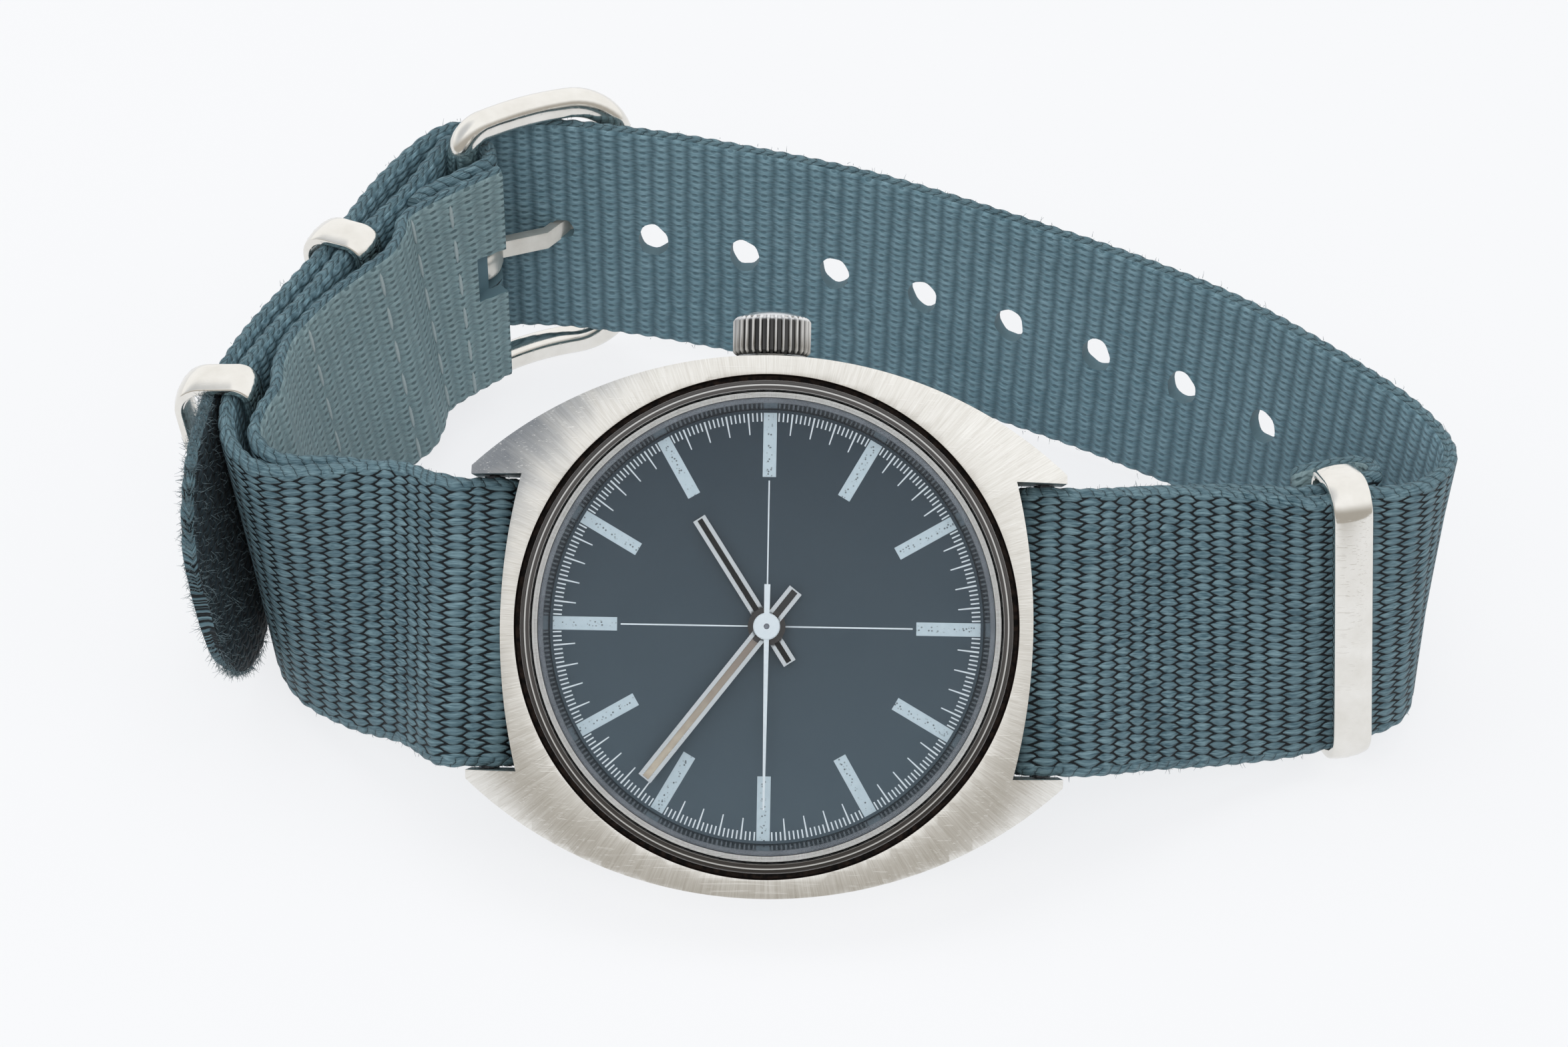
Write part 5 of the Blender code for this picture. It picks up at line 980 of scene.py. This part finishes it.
# sewn rows across the inner layer, and fibres worn loose at the tail
stitching = {"rows": ((4.3, 0.0), (7.9, 0.6), (13.6, 0.1), (22.0, 0.3)), "length": 2.4, "gap": 0.9, "radius": 0.17,
             "from": -8.6, "to": 8.8}
stitches = []
bpy.ops.object.select_all(action='DESELECT')
bpy.ops.mesh.primitive_uv_sphere_add(segments=8, ring_count=6, radius=1.0)
oneStitch = newest("oneStitch")
oneStitch.scale = (stitching["length"] / 2, stitching["radius"], stitching["radius"] * 0.8)
settle(oneStitch)
for distance, start in stitching["rows"]:
    k = min(int(distance / strap["step"]), len(shortFine) - 1)
    middle, along, across, outward = shortFine[k]
    spot = stitching["from"] + start
    while spot < stitching["to"]:
        turn = Matrix((across, along, -outward)).transposed().to_4x4()
        lift = -outward * (strap["thick"] / 2 - 0.02)
        stitches.append(copied(oneStitch, Matrix.Translation(middle + across * spot + lift) @ turn))
        spot += stitching["length"] + stitching["gap"]
bpy.data.objects.remove(oneStitch, do_unlink=True)
sewing = joined("sewing", stitches)
smoothed(sewing, 80)
dressed(sewing, [threadPale], "watch", [], rootMatrix)

fuzz = {"count": 3600, "stray": 900, "reach": 0.62, "radius": 0.022, "back": 13.0, "onRim": 0.55}
points, faces = [], []
for k in range(fuzz["count"] + fuzz["stray"]):
    stray = k >= fuzz["count"]  # a few fibres stand off the edges all along the strap
    onRim = stray or random.random() < fuzz["onRim"]
    back = fuzz["back"] * random.random() ** (1.0 if onRim else 1.3)
    if stray:
        back += (longLength - 2 * fuzz["back"]) * random.random()
    middle, along, across, outward = longFine[max(len(longFine) - 1 - int(back / strap["step"]), 0)]
    missing = max(strap["tailRound"] - back, 0)
    wide = strap["width"] / 2 - strap["tailRound"] + math.sqrt(max(strap["tailRound"] ** 2 - missing ** 2, 0))
    if onRim:
        edge = random.choice((-1, 1))
        root = middle + across * (wide * edge) + outward * random.uniform(-0.55, 0.55)
        lean = across * (edge * (1 - missing / strap["tailRound"] + 0.15)) + along * (missing / strap["tailRound"])
        lean += outward * random.uniform(-0.9, 0.9) + along * random.uniform(-0.4, 0.4)
    else:
        side = random.choice((-1, 1))
        root = middle + across * random.uniform(-wide, wide) + outward * (0.52 * side)
        lean = outward * side + along * random.uniform(-1.2, 1.2) + across * random.uniform(-1.2, 1.2)
    lean.normalize()
    curl = Vector((random.uniform(-1, 1), random.uniform(-1, 1), random.uniform(-1, 1))) * 0.5
    size = fuzz["reach"] * random.uniform(0.3, 1.0) * (0.75 if stray else 1.0)
    sideA = lean.orthogonal().normalized()
    sideB = lean.cross(sideA)
    base = len(points)
    for part in (0.0, 0.5, 1.0):
        centre = root + lean * (size * part) + curl * (size * part * part)
        for n in range(3):
            t = math.tau * n / 3
            points.append(centre + (sideA * math.cos(t) + sideB * math.sin(t)) * fuzz["radius"] * (1.1 - 0.8 * part))
    for row in (0, 3):
        for n in range(3):
            after = (n + 1) % 3
            faces.append((base + row + n, base + row + after, base + row + 3 + after, base + row + 3 + n))
    faces.append((base + 6, base + 7, base + 8))
    faces.append((base + 2, base + 1, base))
tailFuzz = fromMesh("tailFuzz", points, [], faces)
dressed(tailFuzz, [fuzzFibre], "watch", [], rootMatrix)
print("stitches and loose fibres added")


# case body: plan cut from two flank curves, then lug gaps and bores
case = {"width": 37.5, "length": 41.6, "flank": 31.5, "top": 1.3, "depth": 6.0, "lugFall": 2.5, "opening": 17.45,
        "bore": 13.9, "floor": -0.45, "endReach": 18.4, "endRadius": 43.0, "wall": 16.9, "rim": 1.9, "gap": 20.6,
        "bevel": 0.26, "lidBore": 14.45, "lidSeat": -5.15, "barHole": (0.43, 22.7), "tubeHole": 1.15, "ledge": 16.6,
        "gridLines": 26, "gridStep": 0.8, "gridShift": 0.03, "fallFrom": -0.9, "fallOver": 1.2, "fallSpan": 1.13}
deep = case["top"] + case["depth"]
midHeight = (case["top"] - case["depth"]) / 2
rise = case["flank"] - case["width"] / 2
caseBody = drum("caseBody", 640, case["flank"], deep, (0, -rise, midHeight))
settle(caseBody)
combine(caseBody, drum("otherFlank", 640, case["flank"], deep + 4, (0, rise, midHeight)), 'INTERSECT')
combine(caseBody, block("endBox", (0, 0, 0), (case["length"], 60, 30)), 'INTERSECT')
for end in (-1, 1):
    lugGap = block("lugGap", (end * 22, 0, 0), (20, case["gap"], 40))
    centre = end * (case["endReach"] - case["endRadius"])
    cut(lugGap, drum("endCurve", 720, case["endRadius"], 60, (centre, 0, 0)))
    cut(caseBody, lugGap)
    reach = 30 - case["wall"]
    place = (end * (case["wall"] + reach / 2), 0, -case["rim"] - 10)
    cut(caseBody, block("strapRoom", place, (reach, case["gap"], 20)))
    cut(caseBody, drum("barHole", 24, *case["barHole"], (end * strap["barX"], 0, strap["barZ"]), True))
bore = [(0, 9), (case["opening"], 9), (case["opening"], case["floor"]), (case["bore"], case["floor"]),
        (case["bore"], case["lidSeat"]), (case["lidBore"], case["lidSeat"]), (case["lidBore"], -12), (0, -12)]
cut(caseBody, turned("boreCut", bore, 240))
cut(caseBody, drum("tubeHole", 48, case["tubeHole"], 12, (0, 18.0, head["stem"]), True))
coated(caseBody, [caseSteel, caseEdge, paintedGrooveShade])
beveled(caseBody, case["bevel"], 40, 3, material=1, use_clamp_overlap=True)
editAll(caseBody)
for k in range(-case["gridLines"], case["gridLines"] + 1):  # a grid of cuts lets the top face fall towards the lugs
    line = k * case["gridStep"] + case["gridShift"]
    for normal, spot in (((1, 0, 0), (line, 0, 0)), ((0, 1, 0), (0, line, 0))):
        bpy.ops.mesh.select_all(action='SELECT')
        bpy.ops.mesh.bisect(plane_co=spot, plane_no=normal)
editDone()
fallReach = case["length"] / 2 * case["fallSpan"] - case["opening"]
for vert in caseBody.data.vertices:
    radius = math.hypot(vert.co.x, vert.co.y)
    if vert.co.z > case["fallFrom"] and radius > case["opening"]:
        part = min((vert.co.z - case["fallFrom"]) / case["fallOver"], 1.0)
        vert.co.z -= case["lugFall"] * ((radius - case["opening"]) / fallReach) ** 2 * part
# painted shade: the groove's wall and floor take the dark groove material
for face in caseBody.data.polygons:
    spot = face.center
    reach = math.hypot(spot.x, spot.y)
    grooveWall = abs(face.normal.z) < 0.4 and abs(reach - case["opening"]) < 0.08 and spot.z < 1.05
    grooveFloor = face.normal.z > 0.9 and case["ledge"] < reach < case["opening"] and spot.z < 0.9
    if grooveWall or grooveFloor:
        face.material_index = 2
smoothed(caseBody, 30)
dressed(caseBody, [caseSteel, caseEdge, paintedGrooveShade], "watch", ["mid_case"], headMatrix)
print("case cut:", len(caseBody.data.polygons), "faces")

# polished ring around the crystal, with a turned groove
ring = {"inner": 16.25, "outer": 17.05, "top": 1.45, "foot": -0.4}
a, b, top = ring["inner"], ring["outer"], ring["top"]
outline = [(a, ring["foot"]), (b, ring["foot"]), (b, top - 0.3), (b - 0.03, top - 0.14), (b - 0.12, top - 0.05)]
outline += [(b - 0.26, top - 0.02), (b - 0.3, top - 0.12), (b - 0.38, top - 0.12), (b - 0.42, top)]
outline += [(a + 0.12, top + 0.02), (a + 0.04, top - 0.02), (a, top - 0.1), (a, ring["foot"])]
holdingRing = turned("holdingRing", outline, 200)
coated(holdingRing, [ringSteel, paintedGrooveShade])
# painted shade: the ring's outer side below its top takes the dark groove material
for face in holdingRing.data.polygons:
    if math.hypot(face.center.x, face.center.y) > b - 0.08 and face.center.z < top - 0.1:
        face.material_index = 1
smoothed(holdingRing, 28)
dressed(holdingRing, [ringSteel, paintedGrooveShade], "watch", ["holding_ring"], headMatrix)

# domed crystal on its skirt
crystal = {"radius": 16.2, "wall": 0.4, "edge": 1.9, "dome": 1.5, "foot": -0.4}
radius, edge = crystal["radius"], crystal["edge"]
skirt = radius - crystal["wall"]
outer = [(radius, crystal["foot"]), (radius, edge - 0.3), (radius - 0.05, edge - 0.12), (radius - 0.2, edge + 0.05)]
inner = [(skirt, crystal["foot"]), (skirt, edge - 0.95), (skirt - 0.12, edge - 0.78)]
for k in range(1, 17):
    part = k / 16
    height = crystal["dome"] * (1 - (1 - part) ** 2)
    outer.append(((radius - 0.2) * (1 - part), edge + 0.05 + height))
    inner.append(((skirt - 0.12) * (1 - part), edge - 0.75 + height))
domeCrystal = turned("domeCrystal", outer + inner[::-1] + outer[:1], 160)
smoothed(domeCrystal, 35)
dressed(domeCrystal, [crystalClear], "watch", ["crystal"], headMatrix)

# tension ring inside the crystal, and the dial
tension = {"outline": [(15.0, 0.05), (15.75, 0.05), (15.75, 1.1), (15.45, 1.1), (15.4, 1.07), (15.02, 0.12),
                       (15.0, 0.05)]}
tensionRing = turned("tensionRing", tension["outline"], 160)
smoothed(tensionRing, 30)
dressed(tensionRing, [tensionSteel], "watch", ["tension_ring"], headMatrix)
disc = {"outline": [(1.05, -0.4), (15.7, -0.4), (15.7, 0), (15.4, 0), (1.12, 0), (1.05, -0.06), (1.05, -0.4)]}
dialPlate = turned("dialPlate", disc["outline"], 160)
smoothed(dialPlate, 30)
dressed(dialPlate, [dialPaint], "watch", ["dial"], headMatrix)
print("crystal, rings and dial turned")


# dial printing: hour bars, minute lines, fifth-of-a-minute lines and thin cross lines
printing = {"bar": (0.93, 10.35, 14.8), "minute": (0.13, 13.3, 14.8), "fine": (0.1, 14.2, 14.8),
            "cross": (0.1, 1.2, 10.1), "high": 0.018}


def printedBar(name, size, high, rounded=False):
    width, near, far = size
    bar = block(name, ((near + far) / 2, 0, high / 2), (far - near, width, high))
    settle(bar)
    if rounded:
        for vert in bar.data.vertices:
            if vert.co.x < near + 0.01:
                vert.co.y *= 0.6
    return bar


def aroundDial(name, bar, angles):
    made = [copied(bar, Matrix.Rotation(angle, 4, 'Z')) for angle in angles]
    bpy.data.objects.remove(bar, do_unlink=True)
    return joined(name, made)


bar = printedBar("hourBar", printing["bar"], printing["high"] * 1.6)
beveled(bar, 0.012, 30, 2)
layer = bar.data.uv_layers.active or bar.data.uv_layers.new(name="marker")
layer.name = "marker"
for loop in bar.data.loops:
    spot = bar.data.vertices[loop.vertex_index].co
    layer.data[loop.index].uv = (spot.y, spot.x)
hourBars = aroundDial("hourBars", bar, [math.tau * k / 12 for k in range(12)])
dressed(hourBars, [markerPaint], "watch", [], headMatrix)
bar = printedBar("minuteLine", printing["minute"], printing["high"], True)
minuteLines = aroundDial("minuteLines", bar, [math.tau * k / 60 for k in range(60) if k % 5])
bar = printedBar("fineLine", printing["fine"], printing["high"])
fineLines = aroundDial("fineLines", bar, [math.tau * k / 300 for k in range(300) if k % 5 and 1 < k % 25 < 24])
crossLines = []
for k in range(4):
    line = printedBar("crossLine%d" % k, printing["cross"], printing["high"])
    line.data.transform(Matrix.Rotation(math.pi / 2 * k, 4, 'Z'))
    crossLines.append(line)
dialLines = joined("dialLines", [minuteLines, fineLines] + crossLines)
dressed(dialLines, [printWhite], "watch", [], headMatrix)
print("dial printed")


# hands: a bar with a sunk inlay, a tail past the hub and a round hub; reach, tail, width, level and angle
hands = {"hour": (8.8, 3.0, 0.95, 0.5, 56.9), "minute": (13.4, 3.2, 1.05, 0.95, 307.8),
         "second": (12.6, 2.9, 0.26, 1.4, 270.0), "thick": 0.18, "border": 0.28, "hub": 1.3, "cap": 0.93,
         "end": 0.1, "secondThick": 0.14, "secondTaper": (0.52, 1.6)}


def handTurn(angle):  # degrees clockwise from twelve
    return headMatrix @ Matrix.Rotation(math.radians(180 - angle), 4, 'Z')


def inlaidHand(name, node, body, size, bore, inlay):
    reach, back, width, level, angle = size
    thick = hands["thick"]
    hand = block(name, ((reach - back) / 2, 0, level + thick / 2), (reach + back, width, thick))
    settle(hand)
    strip, tip, tail = width / 2 - hands["border"], reach - hands["end"], -back + hands["end"]
    editAll(hand)
    for normal, spot in (((0, 1, 0), strip), ((0, 1, 0), -strip), ((1, 0, 0), tip), ((1, 0, 0), tail)):
        bpy.ops.mesh.select_all(action='SELECT')
        bpy.ops.mesh.bisect(plane_co=[part * spot for part in normal], plane_no=normal)
    editDone()
    pickFaces(hand, lambda face: face.normal.z > 0.9 and abs(face.center.y) < strip and tail < face.center.x < tip)
    bpy.ops.mesh.inset(thickness=0.015, depth=-0.05)
    editDone()
    coated(hand, [handSteel, inlay, hubPaintedShade])
    for face in hand.data.polygons:
        face.material_index = 1 if face.normal.z > 0.9 and face.center.z < level + thick - 0.02 else 0
    hub = drum("hub", 64, hands["hub"], thick - 0.02, (0, 0, level + thick / 2 - 0.02))
    coated(hub, [handSteel, inlay, hubPaintedShade])
    # painted shade: the hub takes the dark hub material
    for face in hub.data.polygons:
        face.material_index = 2
    combine(hand, hub, 'UNION')
    cut(hand, drum("handBore", 40, bore, 2, (0, 0, level)))
    beveled(hand, 0.02, 50, 2)
    smoothed(hand, 30)
    return dressed(hand, [handSteel, inlay, hubPaintedShade], body, [node], handTurn(angle))


inlaidHand("hourHand", "hour_hand", "hours", hands["hour"], 0.845, blackInlay)
inlaidHand("minuteHand", "minute_hand", "minutes", hands["minute"], 0.585, tanInlay)

reach, back, width, level, angle = hands["second"]
thick, cap = hands["secondThick"], hands["cap"]
secondHand = block("secondHand", ((reach - back) / 2, 0, level + thick / 2), (reach + back, width, thick))
settle(secondHand)
for vert in secondHand.data.vertices:
    vert.co.y *= hands["secondTaper"][0 if vert.co.x > 0 else 1]
outline = [(0, -0.02), (cap - 0.07, -0.02), (cap, 0.05), (cap, 0.12), (cap - 0.07, 0.2), (0.2, 0.22), (0.17, 0.2),
           (0.13, 0.24), (0.06, 0.3), (0, 0.31)]
combine(secondHand, turned("cap", [(radius, level + height) for radius, height in outline], 64), 'UNION')
beveled(secondHand, 0.015, 50, 2)
smoothed(secondHand, 35)
coated(secondHand, [printWhite, springSteel])
for face in secondHand.data.polygons:  # the pin's end in the cap's middle
    if math.hypot(face.center.x, face.center.y) < 0.19:
        face.material_index = 1
dressed(secondHand, [printWhite, springSteel], "seconds", ["second_hand"], handTurn(angle))
print("hands made")


# crown: fluted barrel with a smooth domed end
crown = {"radius": 2.75, "length": 2.7, "flutes": 30, "depth": 0.24, "at": 19.05, "recess": 1.75,
         "dome": ((0.9, 0.0), (0.84, 0.06), (0.7, 0.2), (0.5, 0.33), (0.25, 0.42), (0.04, 0.45))}
sides = crown["flutes"] * 10
levels = [(0.0, 0.3), (0.12, 0.12), (0.28, 0.0), (crown["length"] - 0.3, 0.0), (crown["length"] - 0.12, 0.1)]
loops = []
for height, less in levels:
    loop = []
    for k in range(sides):
        a = math.tau * k / sides
        cutIn = max(math.cos(a * crown["flutes"]), -0.35) + 0.35
        radius = crown["radius"] - less - crown["depth"] * (1 - cutIn / 1.35) * (1 if less < 0.2 else 0.6)
        loop.append((radius * math.cos(a), radius * math.sin(a), height))
    loops.append(loop)
for part, lift in crown["dome"]:
    radius = crown["radius"] * part
    loops.append([(radius * math.cos(math.tau * k / sides), radius * math.sin(math.tau * k / sides),
                   crown["length"] + lift) for k in range(sides)])
flutedCrown = lofted("flutedCrown", loops, False)
cut(flutedCrown, drum("recess", 64, crown["recess"], 2.8, (0, 0, 0)))
smoothed(flutedCrown, 32)
stem = Matrix.Translation((0, crown["at"], head["stem"])) @ Matrix.Rotation(-math.pi / 2, 4, 'X')
dressed(flutedCrown, [crownSteel], "crown", ["crown"], headMatrix @ stem)

# case back: a screwed lid with key notches
lid = {"outer": -7.6, "face": 13.4, "radius": 15.2, "notches": 6, "notchAt": 12.4, "notchSize": (1.2, 1.6, 1.45)}
low, radius = lid["outer"], lid["radius"]
outline = [(0, low), (12.2, low), (12.26, low + 0.08), (12.4, low + 0.08), (12.46, low), (lid["face"] - 0.1, low),
           (lid["face"], low + 0.05), (radius - 0.1, -6.86), (radius, -6.78), (radius, -6.35), (14.4, -6.35),
           (14.4, -5.2), (13.3, -5.2), (13.3, -6.6), (0, -6.6)]
backLid = turned("backLid", outline, 160)
for k in range(lid["notches"]):
    a = math.tau * (k + 0.5) / lid["notches"]
    place = (lid["notchAt"] * math.cos(a), lid["notchAt"] * math.sin(a), low - 0.275)
    notch = block("notch", place, lid["notchSize"], a)
    settle(notch)
    cut(backLid, notch)
beveled(backLid, 0.06, 45, 2)
smoothed(backLid, 30)
dressed(backLid, [caseSteel], "watch", ["case_back"], headMatrix)
print("crown and case back made")


# the solids that stay get finishes of their own
finishes = {"case_steel": caseSteel, "polished_steel": polishedSteel, "train_brass": trainBrass,
            "plate_nickel": plateNickel, "spring_steel": springSteel, "gasket_rubber": gasketRubber,
            "hand_steel": handSteel, "dial_charcoal": dialPaint, "clear_acrylic": crystalClear,
            "strap_nylon": strapNylon}
for part in frame["record"]["subparts"]:
    node = frame["nodes"][part["node"]]
    for place in node.material_slots:
        place.material = barSteel if part["node"].startswith("spring_bar") else finishes[part["material_slot"]]

bpy.context.view_layer.update()
